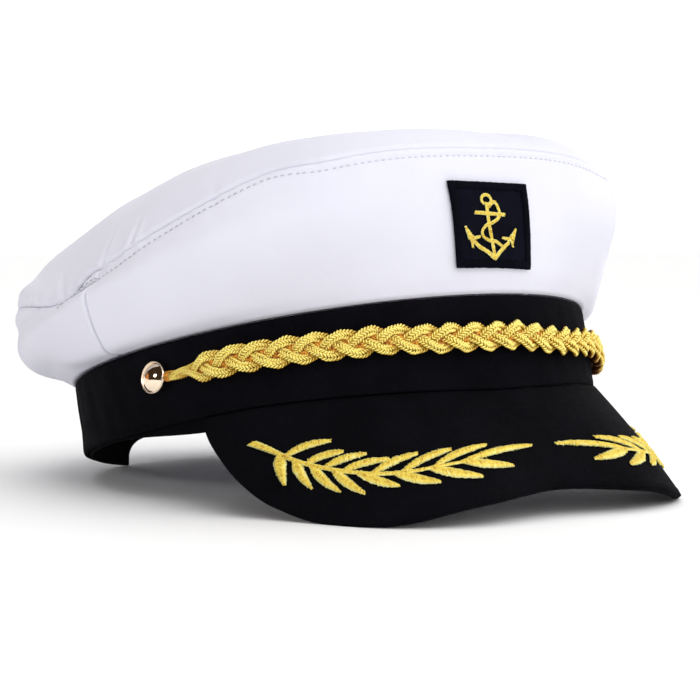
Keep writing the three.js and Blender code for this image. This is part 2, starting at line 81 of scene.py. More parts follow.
# angle, band, strip
BAND_EDGE, STRIP_EDGE = 1, 2
EDGE = np.array([
    [0, -0.07, -0.03], [28, 0, 0.03], [50, 0.06, -0.02], [64, 0.07, -0.09],
    [90, 0.09, 0.06], [120, 0.13, 0.1], [180, 0.13, 0.1],
])
# share, reach, droop, heading
PEAK = np.array([
    [0, 0.71, 60, 0.51], [0.3, 0.865, 53.5, 0.48], [0.6, 0.99, 56, 0.3],
    [0.85, 0.98, 61, 0.28], [1, 0.98, 46, 0.5],
])
# angle, height
CORD = np.array([
    [-76, 0.6], [-55, 0.61], [-36, 0.59], [-15, 0.53], [5, 0.5],
    [20, 0.46], [36, 0.485], [56, 0.42], [76, 0.6],
])
# along, out
LAUREL_STEM = np.array([[0.27, 0.675], [0.45, 0.675], [0.6, 0.63], [0.74, 0.53], [0.88, 0.39]])
# along, tip along, tip out, bow; inner row, then outer row
LAUREL_LEAVES = [
    (0.785, 0.64, 0.355, 0.10), (0.735, 0.62, 0.45, 0.08), (0.692, 0.56, 0.485, 0.07),
    (0.648, 0.505, 0.55, 0.07), (0.572, 0.42, 0.545, 0.06), (0.492, 0.32, 0.555, 0.05),
    (0.400, 0.205, 0.555, 0.05), (0.318, 0.045, 0.61, 0.04),
    (0.795, 0.81, 0.75, 0.04), (0.760, 0.74, 0.74, 0.06), (0.720, 0.67, 0.76, 0.08),
    (0.668, 0.61, 0.78, 0.06), (0.610, 0.51, 0.755, 0.03), (0.510, 0.395, 0.79, 0.02),
    (0.408, 0.27, 0.81, 0.02), (0.305, 0.15, 0.765, 0.0),
]
INNER_LEAVES = 8


# Shares, bumps and lengths, for whole arrays at once
def arrays(*values):
    return np.broadcast_arrays(*(np.asarray(value, float) for value in values))


def blend(low, high, share):
    return low + (high - low) * share


def smoothstep(x, low, high):
    t = clip((x - low) / (high - low), 0, 1)
    return t * t * (3 - 2 * t)


def plateau(x, start, full, fading, end):
    """0 before start, 1 from full to fading and 0 again past end."""
    return smoothstep(x, start, full) * (1 - smoothstep(x, fading, end))


def bell(x, width):
    return exp(-((x / width) ** 2))


def run_along(points):
    """Length up to each point of a line, or of each column of a grid."""
    steps = np.linalg.norm(np.diff(points, axis=0), axis=-1)
    return concatenate([np.zeros((1, *steps.shape[1:])), np.cumsum(steps, 0)])


def along_line(at, run, points):
    return stack([np.interp(at, run, column) for column in np.transpose(points)], -1)


# Curves and surfaces of the part
def hermite(low, high, slope_low, slope_high, t):
    rest = 1 - t
    return (low * (1 + 2 * t) * rest**2 + high * t**2 * (3 - 2 * t)
            + slope_low * t * rest**2 - slope_high * t**2 * rest)


def read(table, column, place):
    """Smooth value of a table's column at places along its first column."""
    key, value = table[:, 0], table[:, column]
    slope = np.zeros(len(key))
    slope[1:-1] = (value[2:] - value[:-2]) / (key[2:] - key[:-2])
    at = clip(place, key[0], key[-1])
    i = clip(np.searchsorted(key, at, side="left") - 1, 0, len(key) - 2)
    span = key[i + 1] - key[i]
    return hermite(value[i], value[i + 1], slope[i] * span, slope[i + 1] * span, (at - key[i]) / span)


def through_four(values, t):
    """Smooth curve through four values at a share t of its length."""
    v = stack(arrays(*values, t)[:4])
    place = clip(np.broadcast_to(t, v[0].shape), 0, 1) * 3
    i = np.minimum(np.floor(place), 2).astype(int)
    s = stack([v[1] - v[0], (v[2] - v[0]) / 2, (v[3] - v[1]) / 2, v[3] - v[2]])
    pick = lambda a, k: np.take_along_axis(a, k[None], 0)[0]
    return hermite(pick(v, i), pick(v, i + 1), pick(s, i), pick(s, i + 1), place - i)


def wrapped(angle):
    return np.mod(np.asarray(angle, float) + 180, 360) - 180


def from_front(angle):
    return np.abs(wrapped(angle))


def unit(v):
    return v / np.maximum(np.linalg.norm(v, axis=-1, keepdims=True), 1e-12)


def outward(angle):
    a = np.radians(angle)
    return unit(stack([sin(a) / HALF_WIDTH, -cos(a) / HALF_LENGTH, 0 * a], -1))


def around_head(angle, out, height):
    angle, out, height = arrays(*np.atleast_1d(angle, out, height))
    a = np.radians(angle)
    base = stack([HALF_WIDTH * sin(a), -HALF_LENGTH * cos(a), height], -1)
    return base + out[..., None] * outward(angle)


def crown_point(angle, level):
    angle, level = arrays(angle, level)
    f = from_front(angle)
    hem = BAND_HEIGHT + CLEARANCE
    side = np.minimum(level, 1)
    out, up = (through_four([0 * f] + [read(CROWN, column, f) for column in columns], side)
               for columns in ((1, 3, 5), (2, 4, 6)))
    rim = around_head(angle, CROWN_OVERHANG * out, hem + FRONT_RISE * up).reshape(*angle.shape, 3)
    share = clip(2 - level, 0, 1)
    apex = hem + CROWN_HEIGHT
    puff = CROWN_PUFF * read(CROWN, 7, f) * 1.6 * share**2 * (1 - share**6)
    top = stack([
        rim[..., 0] * share,
        rim[..., 1] * share + APEX_OFFSET * (1 - share),
        rim[..., 2] * share**2 + apex * (1 - share**2) + puff,
    ], -1)
    return np.where((level <= 1)[..., None], rim, top)


def normal_of(surface, u, v, step_u, step_v):
    along_u = surface(u + step_u, v) - surface(u - step_u, v)
    along_v = surface(u, v + step_v) - surface(u, v - step_v)
    return unit(np.cross(along_u, along_v))


def crown_normal(angle, level):
    angle, level = arrays(angle, level)
    n = normal_of(crown_point, angle, np.minimum(level, 1.97), 1.0, 0.02)
    up = np.array([0.0, 0.0, 1.0])
    mix = clip((level - 1.9) / 0.08, 0, 1)[..., None]
    return unit(n * (1 - mix) + up * mix)


def notch_rise(angle):
    across = clip((180 - from_front(angle)) / NOTCH_ANGLE, 0, 1)
    return NOTCH_HEIGHT * np.sqrt(1 - across**4)


def lower_edge(column, angle):
    """Height of the lower edge of the band or of the strip inside it."""
    return BAND_HEIGHT * read(EDGE, column, from_front(angle)) + notch_rise(angle)


def peak_point(share, out):
    share, out = arrays(share, out)
    side = np.minimum(np.abs(share), 1)
    angle = PEAK_CORNER * share
    course = np.radians(angle * read(PEAK, 3, side))
    droop = np.radians(read(PEAK, 2, side))
    narrowing = np.sqrt(np.maximum(1 - side**4, 0))
    reach = PEAK_REACH * read(PEAK, 1, side) * narrowing * out
    swell = PEAK_BULGE * narrowing * 4 * out * (1 - out)
    root = around_head(angle, CLEARANCE, lower_edge(BAND_EDGE, angle) - CLEARANCE).reshape(*share.shape, 3)
    cd, sd = cos(droop), sin(droop)
    ahead = stack([sin(course) * cd, -cos(course) * cd, -sd], -1)
    above = stack([sin(course) * sd, -cos(course) * sd, cd], -1)
    return root + ahead * reach[..., None] + above * swell[..., None]


def peak_normal(share, out):
    s = clip(share, -0.985, 0.985)
    return -normal_of(peak_point, s, np.asarray(out, float), 0.01, 0.02)


def peak_layer(share, out, depth):
    n = peak_normal(share, out)
    return peak_point(share, out) + n * np.broadcast_to(depth, n.shape[:-1])[..., None]


def crown_address(across, height):
    angle = np.degrees(across / HALF_WIDTH)
    level = height / FRONT_RISE
    for _ in range(10):
        p = crown_point(angle, level)
        angle = angle + np.degrees((across - p[..., 0]) / (HALF_WIDTH + CROWN_OVERHANG / 2))
        level = level + (BAND_HEIGHT + height - p[..., 2]) / FRONT_RISE
    return angle, level


def patch_point(across, up, lift):
    across, up, lift = arrays(across, up, lift)
    x, y = across - PATCH_SLANT * up, up
    turn = np.radians(PATCH_LEAN)
    tx = x * cos(turn) - y * sin(turn)
    ty = x * sin(turn) + y * cos(turn)
    angle, level = crown_address(PATCH_OFFSET + tx, PATCH_CENTRE + ty)
    return crown_point(angle, level) + crown_normal(angle, level) * lift[..., None]


def cut_point(across, up, lift):
    """The patch as it was cut: a little smaller, narrower below and leaning further."""
    narrowed = across * (PATCH_CUT_WIDTH + PATCH_TAPER * up / PATCH_HEIGHT)
    return patch_point(narrowed - PATCH_SKEW * up + PATCH_SHIFT, up * PATCH_CUT_HEIGHT, lift)


# The hat's frame on the floor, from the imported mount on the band's lower edge
mount = frame["record"]["mounts"][0]
hat_up = -np.array(mount["axis"], float)
hat_up /= np.linalg.norm(hat_up)
hat_back = np.cross(hat_up, [1.0, 0.0, 0.0])
hat_axes = stack([[1.0, 0.0, 0.0], hat_back, hat_up])
MOUNT_ANGLE, BACK_EDGE = 132, 0.13
mount_point = around_head(MOUNT_ANGLE, -BAND_WALL / 2, BACK_EDGE * BAND_HEIGHT)[0]
hat_origin = np.array(mount["pos_m"], float) * 1000 - mount_point @ hat_axes


def lay(points):
    """Millimetres in the hat's frame to metres on the floor."""
    return (np.asarray(points, float).reshape(-1, 3) @ hat_axes + hat_origin) / 1000


# Meshes
def add_object(name, data):
    obj = bpy.data.objects.new(name, data)
    bpy.context.scene.collection.objects.link(obj)
    return obj


class Cloth:
    """Gathers points, faces and what the materials read at each point, and makes one object."""

    def __init__(self):
        self.points, self.faces, self.uvs, self.tones, self.count = [], [], [], [], 0

    def add(self, points, faces, uv=None, tone=None):
        points = np.asarray(points, float).reshape(-1, 3)
        n = len(points)
        self.points.append(points)
        self.faces.append(np.asarray(faces, int) + self.count)
        self.uvs.append(np.zeros((n, 2)) if uv is None else np.asarray(uv, float).reshape(-1, 2))
        self.tones.append(np.broadcast_to(0.5 if tone is None else np.asarray(tone, float), (n,)))
        self.count += n

    def make(self, name, material, nodes=()):
        mesh = bpy.data.meshes.new(name)
        points = lay(concatenate(self.points))
        quads, tris = (concatenate([np.zeros((0, k), int)] + [f for f in self.faces if f.shape[1] == k])
                       for k in (4, 3))
        corners = concatenate([quads.ravel(), tris.ravel()])
        sizes = np.repeat([4, 3], [len(quads), len(tris)])
        starts = np.cumsum(sizes) - sizes
        mesh.vertices.add(len(points))
        mesh.vertices.foreach_set("co", points.astype(np.float32).ravel())
        mesh.loops.add(len(corners))
        mesh.loops.foreach_set("vertex_index", corners.astype(np.int32))
        mesh.polygons.add(len(starts))
        mesh.polygons.foreach_set("loop_start", starts.astype(np.int32))
        mesh.update(calc_edges=True)
        mesh.validate()
        layer = mesh.uv_layers.new(name="cloth_mm")
        if len(mesh.loops) == len(corners):
            uv = concatenate(self.uvs)[corners]
            layer.data.foreach_set("uv", uv.astype(np.float32).ravel())
        tone = mesh.attributes.new("tone", "FLOAT", "POINT")
        tone.data.foreach_set("value", concatenate(self.tones).astype(np.float32))
        mesh.polygons.foreach_set("use_smooth", np.ones(len(mesh.polygons), bool))
        mesh.materials.append(material)
        obj = add_object(name, mesh)
        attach(obj, "root")
        if nodes:
            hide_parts(*nodes)


def sheet_faces(rows, columns, close_rows=False, close_columns=False):
    """Quads of a grid whose first axis runs along the rows."""
    r = np.arange(rows if close_rows else rows - 1)
    c = np.arange(columns if close_columns else columns - 1)
    r, c = np.meshgrid(r, c, indexing="ij")
    rn, cn = (r + 1) % rows, (c + 1) % columns
    quads = stack([r * columns + c, r * columns + cn, rn * columns + cn, rn * columns + c], -1)
    return quads.reshape(-1, 4)


def add_slab(cloth, top, foot, uv, close_columns=False):
    """Adds two grids, the second one under the first, and the walls between their edges."""
    rows, columns = top.shape[:2]
    size = rows * columns
    grid = np.arange(size).reshape(rows, columns)
    ring = grid[0]
    if not close_columns:
        ring = concatenate([ring, grid[1:, -1], grid[-1, -2::-1], grid[-2:0:-1, 0]])
    following = np.roll(ring, -1)
    walls = stack([ring + size, following + size, following, ring], -1)
    faces = sheet_faces(rows, columns, close_columns=close_columns)
    faces = concatenate([faces, faces[:, ::-1] + size, walls])
    cloth.add(stack([top, foot]), faces, stack([uv, uv]))


def add_tubes(cloth, paths, ups, radius, sides, tone=None):
    """Adds threads along many paths of equal length. Their first coordinate is the length along
    them in millimetres, and their radius may change along them."""
    paths = np.asarray(paths, float)
    count, steps, _ = paths.shape
    tangent = unit(np.gradient(paths, axis=1))
    across = unit(np.cross(tangent, np.broadcast_to(ups, paths.shape)))
    over = np.cross(across, tangent)
    turn = np.arange(sides) / sides * 2 * pi
    ring = across[:, :, None] * cos(turn)[:, None] + over[:, :, None] * sin(turn)[:, None]
    points = paths[:, :, None] + np.broadcast_to(radius, (count, steps))[..., None, None] * ring
    firsts = cloth.count + np.arange(count)[:, None, None] * steps * sides
    fan = np.array([[0, k, k + 1] for k in range(1, sides - 1)])
    ends = concatenate([fan, (fan + (steps - 1) * sides)[:, ::-1]]) + firsts
    faces = sheet_faces(steps, sides, close_columns=True)[:, ::-1] + firsts - cloth.count
    along = run_along(np.moveaxis(paths, 1, 0)).T
    u = np.repeat(along[..., None], sides, 2)
    v = np.broadcast_to(np.arange(sides) / sides, u.shape)
    tone = np.asarray(rng.random(count) if tone is None else tone)
    tone = np.broadcast_to(tone.reshape(tone.shape + (1,) * (3 - tone.ndim)), u.shape).ravel()
    cloth.add(points, faces.reshape(-1, 4), stack([u, v], -1), tone)
    cloth.faces.append(ends.reshape(-1, 3))


# Materials
def material(name, build):
    mat = bpy.data.materials.new(name)
    mat.use_nodes = True
    build(Nodes(mat.node_tree))
    return mat


class Nodes:
    """Short names for the nodes that the materials are put together from."""

    def __init__(self, tree):
        self.tree = tree

    def feed(self, target, value):
        """Sets an input to a number or a colour, or links it to another node's output."""
        if isinstance(value, (int, float)):
            target.default_value = value
        elif isinstance(value, tuple):
            target.default_value = (*value, 1.0)
        else:
            self.tree.links.new(value, target)

    def node(self, kind, inputs=None, output=0, **settings):
        made = self.tree.nodes.new(kind)
        for key, value in settings.items():
            setattr(made, key, value)
        for key, value in (inputs or {}).items():
            self.feed(made.inputs[key], value)
        return made.outputs[output]

    def shade(self, **values):
        shader = self.tree.nodes["Principled BSDF"]
        for key, value in values.items():
            self.feed(shader.inputs[key.replace("_", " ")], value)

    def math(self, operation, a, b=0.0):
        return self.node("ShaderNodeMath", {0: a, 1: b}, operation=operation)

    def add(self, a, b):
        return self.math("ADD", a, b)

    def times(self, a, b):
        return self.math("MULTIPLY", a, b)

    def mix(self, factor, a, b):
        return self.node("ShaderNodeMix", {0: factor, 6: a, 7: b}, 2, data_type="RGBA")

    def split(self, vector):
        x = self.node("ShaderNodeSeparateXYZ", {0: vector})
        return x.node.outputs

    def cloth_mm(self):
        u, v, _ = self.split(self.node("ShaderNodeUVMap", uv_map="cloth_mm"))
        return u, v

    def object_mm(self):
        place = self.node("ShaderNodeTexCoord", output="Object")
        return self.node("ShaderNodeVectorMath", {0: place, "Scale": 1000}, operation="SCALE")

    def noise(self, vector, scale, detail=2.0, roughness=0.5):
        return self.node("ShaderNodeTexNoise", {
            "Vector": vector, "Scale": scale, "Detail": detail, "Roughness": roughness})

    def ramp(self, value, low, high, a=0.0, b=1.0):
        return self.node("ShaderNodeMapRange", {
            "Value": value, "From Min": low, "From Max": high, "To Min": a, "To Max": b,
        }, interpolation_type="SMOOTHSTEP")

    def tone(self):
        return self.node("ShaderNodeAttribute", output="Fac", attribute_name="tone")

    def bump(self, height, strength, distance):
        self.shade(Normal=self.node("ShaderNodeBump", {
            "Strength": strength, "Distance": distance, "Height": height}))

    def weave(self, pitch, twill=0.0):
        """Height of a woven cloth: threads over and under each other, pitch millimetres apart."""
        u, v = self.cloth_mm()
        if twill:
            u = self.add(u, self.times(v, twill))
        warp = self.math("SINE", self.times(u, 2 * pi / pitch))
        weft = self.math("SINE", self.times(v, 2 * pi / pitch))
        return self.times(warp, weft)


def white_cloth(n):
    mm = n.object_mm()
    soft = n.ramp(n.noise(mm, 0.018, 3), 0.3, 0.7)
    n.shade(Base_Color=n.mix(soft, (0.725, 0.725, 0.815), (0.76, 0.76, 0.85)),
            Roughness=n.ramp(n.noise(mm, 0.8, 3), 0.3, 0.7, 0.72, 0.86),
            Specular_IOR_Level=0.2, Sheen_Weight=0.08, Sheen_Roughness=0.5)
    n.bump(n.add(n.times(n.weave(0.62), 0.25), n.times(n.noise(mm, 1.1, 4, 0.6), 1.1)), 0.3, 0.00014)


def white_thread(n):
    u, v = n.cloth_mm()
    # The thread is white; its grey, lighter and darker along the twist, is painted shade of the sunken
    # stitches, and the tone attribute lifts it towards the cloth's white
    twist = n.math("SINE", n.add(n.times(u, 9), n.times(v, 2 * pi)))
    painted_stitch_shade = n.mix(n.ramp(twist, -1, 1), (0.40, 0.40, 0.45), (0.58, 0.58, 0.64))
    n.shade(Base_Color=n.mix(n.tone(), painted_stitch_shade, (0.735, 0.735, 0.82)), Roughness=0.6, Specular_IOR_Level=0.2)
    n.bump(twist, 0.4, 0.0001)


def black_weave(pitch, twill, colours, roughness, lift):
    """Dark cloth. colours are its two shades and its lint."""
    def build(n):
        mm = n.object_mm()
        base = n.mix(n.ramp(n.noise(mm, 0.05, 4), 0.35, 0.68), colours[0], colours[1])
        lint = n.times(n.ramp(n.noise(mm, 1.9, 2), 0.66, 0.78), 0.3)
        dull = n.ramp(n.noise(mm, 0.5, 3), 0.3, 0.7, roughness - 0.07, roughness + 0.05)
        n.shade(Base_Color=n.mix(lint, base, colours[2]), Roughness=dull, Specular_IOR_Level=0.03)
        grain = n.times(n.noise(mm, 2.4, 3, 0.6), 0.9)
        n.bump(n.add(n.times(n.weave(pitch, twill), 0.4), grain), 0.5, lift)
    return build


def gold_yarn(deep, base, painted_highlight, pitch, metallic, speckle):
    """Yarn whose colour runs with its tone from deep, a painted shade, over base to a painted highlight: the
    painted shade lies between the threads.
    """
    def build(n):
        u, v = n.cloth_mm()
        fibre = n.math("SINE", n.add(n.times(u, 2 * pi / pitch), n.times(v, 4 * pi)))
        speck = n.noise(n.object_mm(), 1.5, 3)
        tone = n.add(n.tone(), n.times(n.math("SUBTRACT", speck, 0.5), speckle))
        # Low tone takes the painted shade colour, high tone the painted highlight colour
        colour = n.mix(n.ramp(tone, 0.0, 0.5), deep, base)
        n.shade(Base_Color=n.mix(n.ramp(tone, 0.5, 1.0), colour, painted_highlight),
                Roughness=n.ramp(tone, 0, 1, 0.55, 0.34), Metallic=metallic, Specular_IOR_Level=0.5)
        n.bump(n.add(fibre, speck), 0.45, 0.00006)
    return build


def core_yarn(n):
    speck = n.noise(n.object_mm(), 1.6, 3)
    n.shade(Base_Color=n.mix(n.ramp(speck, 0.35, 0.65), (0.14, 0.03, 0.003), (0.85, 0.36, 0.04)),
            Roughness=0.6, Specular_IOR_Level=0.2)
    n.bump(speck, 0.6, 0.0003)


def rose_gold(n):
    mm = n.object_mm()
    stain = n.ramp(n.noise(mm, 0.35, 3), 0.35, 0.75)
    n.shade(Base_Color=n.mix(stain, (0.93, 0.78, 0.60), (0.88, 0.70, 0.52)),
            Roughness=n.ramp(n.noise(mm, 1.2, 4), 0.4, 0.8, 0.05, 0.13), Metallic=1.0)
    n.bump(n.noise(mm, 0.5, 1), 0.1, 0.0002)


WHITE = material("white_cloth", white_cloth)
WHITE_THREAD = material("white_thread", white_thread)
# Pitch, twill, two shades and lint, roughness, height of the grain in metres
BLACK, TAPE, TWILL, NAVY, BLACK_THREAD = (material(name, black_weave(*values)) for name, *values in (
    ("black_cloth", 0.7, 0,
     ((0.0024, 0.0022, 0.0035), (0.0036, 0.0033, 0.0050), (0.010, 0.010, 0.013)), 0.9, 0.0002),
    ("black_tape", 1.1, 0.5,
     ((0.0025, 0.0024, 0.0032), (0.0038, 0.0037, 0.0047), (0.010, 0.010, 0.012)), 0.92, 0.0003),
    ("black_twill", 0.6, 1.0,
     ((0.0024, 0.0023, 0.0035), (0.0035, 0.0033, 0.0049), (0.010, 0.010, 0.012)), 0.88, 0.00018),
    ("navy_twill", 0.8, 1.0,
     ((0.0038, 0.0040, 0.0085), (0.0054, 0.0057, 0.0120), (0.013, 0.013, 0.022)), 0.88, 0.00022),
    ("black_thread", 0.5, 0,
     ((0.0036, 0.0038, 0.0072), (0.0052, 0.0055, 0.0100), (0.013, 0.013, 0.020)), 0.85, 0.00015),
))
# Gold yarns: painted shade colour, base colour and painted highlight colour, then fibre pitch, metallic and
# speckle
GOLD_CORD = material("gold_cord", gold_yarn(
    (0.20, 0.05, 0.002), (0.66, 0.38, 0.022), (1.0, 0.86, 0.22), 0.8, 0.3, 0.6))
GOLD_THREAD = material("gold_thread", gold_yarn(
    (0.42, 0.18, 0.010), (0.88, 0.68, 0.085), (1.0, 0.98, 0.46), 0.9, 0.2, 0.5))
CORE = material("braid_core", core_yarn)
METAL = material("gilt_metal", rose_gold)


# Crown: three panels of soft cloth, with the turned seams drawn in and puckered along the stitches.
# LENGTHS holds millimetres up from the band, a row for each level and a column for each angle.
SEAM_ANGLES = linspace(-180, 180, 721)
LEVELS = linspace(0, 2, 161)
LENGTHS = run_along(crown_point(SEAM_ANGLES[None, :], LEVELS[:, None]))
SEAM_ROW = 80
SEAM_RUN = run_along(crown_point(SEAM_ANGLES, 1.0))


def around_crown(values):
    """Function of the angle that reads values kept at SEAM_ANGLES."""
    return lambda angle: np.interp(wrapped(angle), SEAM_ANGLES, values)


seam_run, side_length, all_length = map(around_crown, (SEAM_RUN, LENGTHS[SEAM_ROW], LENGTHS[-1]))


def level_at(angle, above_band):
    """Level at a length up from the band, for each angle."""
    angle, above_band = arrays(angle, above_band)
    columns = len(SEAM_ANGLES) - 1
    place = (wrapped(angle).ravel() + 180) / 360 * columns
    left = clip(np.floor(place).astype(int), 0, columns - 1)
    share, want = place - left, above_band.ravel()
    level = np.empty(len(want))
    for k in np.unique(left):
        m = left == k
        a, b = (np.interp(want[m], LENGTHS[:, column], LEVELS) for column in (k, k + 1))
        level[m] = a * (1 - share[m]) + b * share[m]
    return level.reshape(angle.shape)


def beside_seam(angle, beyond, width):
    """Bump beside each side seam, a few degrees behind it."""
    return bell(from_front(angle) - SIDE_SEAM_ANGLE - beyond, width)


def seam_length(angle):
    """Length up from the band to the top seam. The front panel's sides reach higher than the
    back panel, so the seam steps down where they meet."""
    f = from_front(angle)
    lift = SEAM_LIFT * plateau(f, 32, 44, SIDE_SEAM_ANGLE + 2.5, SIDE_SEAM_ANGLE + 8)
    behind = SEAM_LIFT_BEHIND * plateau(f, 92, 118, 140, 170)
    return side_length(angle) + lift + SEAM_KICK * beside_seam(angle, 0, 3.2) + behind


def seam_slit(angle):
    """Width of the gap between the panels at the top seam, a little open beside the side seams."""
    return CLEARANCE + 0.35 * beside_seam(angle, 3, 3.5)


def stitch_drop(angle):
    """Millimetres from the top seam down to the stitches, more beside the side seams."""
    return STITCH_DROP + 1.3 * smoothstep(from_front(angle), 58, 80)


def seam_shift(share):
    """Degrees that the side seam lies behind its middle at a share of its height."""
    return SEAM_LEAN * (1 - 2 * share)


def waves(run, seed, lengths, closed=SEAM_RUN[-1]):
    """Smooth irregular wave along a closed seam, made of a few whole wave counts."""
    local = np.random.default_rng(seed)
    total = 0 * run
    for length in lengths:
        turns = max(1, round(closed / length)) * run / closed
        total = total + sin(2 * pi * turns + local.uniform(0, 6.28)) / len(lengths) ** 0.5
    return total


# Creases: angle, millimetres above the top seam at start and end, shift of angle, depth, width
CREASES = [
    (-79.8, 0.8, 12, 1.0, -1.0, 1.2), (-71.5, 2, 9, 1.4, -0.7, 1.2), (-92, 1, 12, -3, -0.6, 1.8),
    (-112, 1, 9, 3, -0.35, 2.4), (-150, 1, 9, 2, -0.35, 2.5), (171, 1, 10, -3, -0.35, 2.5),
    (128, 1, 9, -2, -0.35, 2.2), (95, 1, 9, 3, -0.4, 1.8), (79, 1.2, 11, -1.5, -0.5, 1.4),
    (70, 2, 7, 1, -0.3, 1.4), (-96, -2, -9, 1.5, -0.25, 2.2), (-124, -2, -10, -2, -0.3, 2.4),
    (103, -2, -10, 2, -0.3, 2.4), (140, -2, -10, -2, -0.3, 2.5),
]

# Bulges at the front's corner on the wearer's left: degrees from the front and their width,
# millimetres up the cloth and their width, height
CORNER_BULGES = ((50, 9, 24, 9, -2.7), (42, 8, 43, 6, 1.2), (66, 8, 7, 5, 2.4))
# Hollows of the top: where they lie round the crown, millimetres past the seam, width, depth
DENT_ANGLE, DENT_WIDTH = 14, 7
TOP_HOLLOWS = (
    (lambda angle: plateau(angle, -90, -74, -24, -6), 33, 13, 2.3),
    (lambda angle: bell(angle - DENT_ANGLE, DENT_WIDTH), 19, 8, 2.2),
)


def seam_relief(angle, above):
    """Turned edges of the top seam, puckers, and the line that the stitches pull down below it."""
    f, run, d, below = from_front(angle), seam_run(angle), np.abs(above), above <= 0
    busy = 0.4 + 0.6 * smoothstep(f, 30, 80)
    relief = 0.2 * busy * waves(run, 3, (5.2, 6.1, 7.4, 8.9)) * exp(-d / 5.0)
    relief = relief + 0.08 * busy * waves(run, 5, (11, 14, 19)) * exp(-d / 10)
    opened = beside_seam(angle, 3, 4)
    relief = relief - 0.8 * (1 + 0.5 * opened) * bell(d, 0.75 + 0.3 * opened)
    relief = relief + opened * np.where(below, -0.4 * bell(d, 1.8), 0.5 * bell(d - 1.5, 2))
    stitched = 1 - smoothstep(f, SIDE_SEAM_ANGLE - 1, SIDE_SEAM_ANGLE + 4)
    pull = stitched * (0.28 * bell(d - stitch_drop(angle), 0.65) - 0.14 * bell(d - 1.8, 0.9))
    return relief + np.where(below, -pull, 0.12 * bell(d - 1.7, 1.1))


def broad_relief(angle, length, above):
    """Large soft forms: slow waves, the back's shoulder and tuck, hollows and corners."""
    d, below = np.abs(above), above <= 0
    x, y, z = np.moveaxis(crown_point(angle, level_at(angle, length)), -1, 0)
    slow = sin(x / 23 + 1.1 * sin(y / 31)) + sin(y / 27 + 0.8 * sin(z / 19 + 2))
    slow = slow + sin((x + y) / 37 + z / 21)
    relief = 0.28 * slow * (1 - exp(-d / 14)) * (1 - exp(-length / 9))
    # Towards the back the top stands out past its seam, and the side is drawn in under it
    f = from_front(angle)
    shoulder = 2.5 * bell(above - 5, 4.5) + 1.2 * bell(above - 17, 11)
    tuck = 4.6 * bell(length - 9, 10) * (1 - exp(-length / 4)) + bell(length - 33, 4) - 0.9 * bell(d, 3)
    pulled = np.where(below, -tuck, shoulder * smoothstep(above, -3, 3))
    relief = relief + plateau(f, 90, 112, 145, 175) * pulled
    for where, past, width, depth in TOP_HOLLOWS:
        relief = relief - depth * where(angle) * bell(above - past, width)
    for at, wide, up, tall, height in CORNER_BULGES:
        relief = relief + height * bell(f - at, wide) * bell(length - up, tall) * smoothstep(angle, 20, 34)
    return relief


def crease_relief(angle, above):
    """Creases that run from the seam, each with a low ridge on either side."""
    relief = 0 * above
    for at, start, end, shift, depth, width in CREASES:
        share = clip((above - start) / (end - start), 0, 1)
        off = np.radians(wrapped(angle - at - shift * share)) * (MEAN_RADIUS + 14)
        strength = (above * np.sign(end) > 0) * clip(np.abs(above) / 1.2, 0, 1)
        strength = strength * clip(1.1 - share, 0, 1) ** 0.8
        ridges = bell(off + 1.9 * width, width) + bell(off - 1.9 * width, width)
        relief = relief + depth * strength * (bell(off, width) - 0.5 * ridges)
    return relief


def side_seam_relief(angle, length, above):
    relief = 0 * above
    shift = seam_shift(clip(length / seam_length(angle), 0, 1))
    for side in (-1, 1):
        seam = side * SIDE_SEAM_ANGLE
        off = np.radians(wrapped(angle - side * shift - seam)) * (MEAN_RADIUS + 16)
        line = -0.65 * bell(off, 0.75) + 0.12 * bell(np.abs(off) - 1.7, 0.9)
        relief = relief + line + 0.1 * sin(length / 1.9 + seam) * exp(-np.abs(off) / 3)
    return np.where(above <= 0, relief, 0)


def crown_skin(angle, length, depth):
    """Point of the cloth: depth millimetres out from its relief."""
    angle, length = arrays(wrapped(angle), length)
    above = length - seam_length(angle)
    lift = depth + seam_relief(angle, above) + broad_relief(angle, length, above)
    lift = lift + crease_relief(angle, above) + side_seam_relief(angle, length, above)
    level = level_at(angle, length)
    return crown_point(angle, level) + crown_normal(angle, level) * lift[..., None]


def crown_panel(name, angles, rows, node, close):
    """rows holds millimetres up from the band, with one column for each angle."""
    grid_angle = np.broadcast_to(angles, rows.shape)
    if not close:
        near = beside_seam(angles, 0, 9) * np.sign(wrapped(angles))
        grid_angle = grid_angle + near * seam_shift(rows / rows[-1])
    outer = crown_skin(grid_angle, rows, 0.0)
    inner = crown_skin(grid_angle, rows, -CROWN_WALL)
    run = np.where(angles > 180, seam_run(angles) + SEAM_RUN[-1], seam_run(angles))
    uv = stack([np.broadcast_to(run, rows.shape), rows], -1)
    cloth = Cloth()
    add_slab(cloth, outer, inner, uv, close)
    cloth.make(name, WHITE, [node])


def side_rows(angles):
    top = seam_length(angles) - seam_slit(angles) / 2
    shares = 1 - (1 - linspace(0, 1, 50)) ** 1.7
    return shares[:, None] * (top - 0.05)[None, :] + 0.05


def top_rows(angles):
    low = seam_length(angles) + seam_slit(angles) / 2
    high = all_length(angles) * 0.999
    return low[None, :] + (linspace(0, 1, 60) ** 1.7)[:, None] * (high - low)[None, :]


def panel_turn(start, end, count):
    """Angles across a panel, closer together at its ends, where the side seams are turned in."""
    gap = np.degrees(CLEARANCE / 2 / (MEAN_RADIUS + CROWN_OVERHANG / 2))
    t = linspace(0, 1, count)
    t = t - 0.6 * sin(2 * pi * t) / (2 * pi)
    return blend(start + gap, end - gap, t)


front_turn = panel_turn(-SIDE_SEAM_ANGLE, SIDE_SEAM_ANGLE, 320)
back_turn = panel_turn(SIDE_SEAM_ANGLE, 360 - SIDE_SEAM_ANGLE, 300)
top_turn = SEAM_ANGLES[:-1]
crown_panel("Crown_front", front_turn, side_rows(front_turn), "crown_front", False)
crown_panel("Crown_back", back_turn, side_rows(back_turn), "crown_back", False)
crown_panel("Crown_top", top_turn, top_rows(top_turn), "crown_top", True)


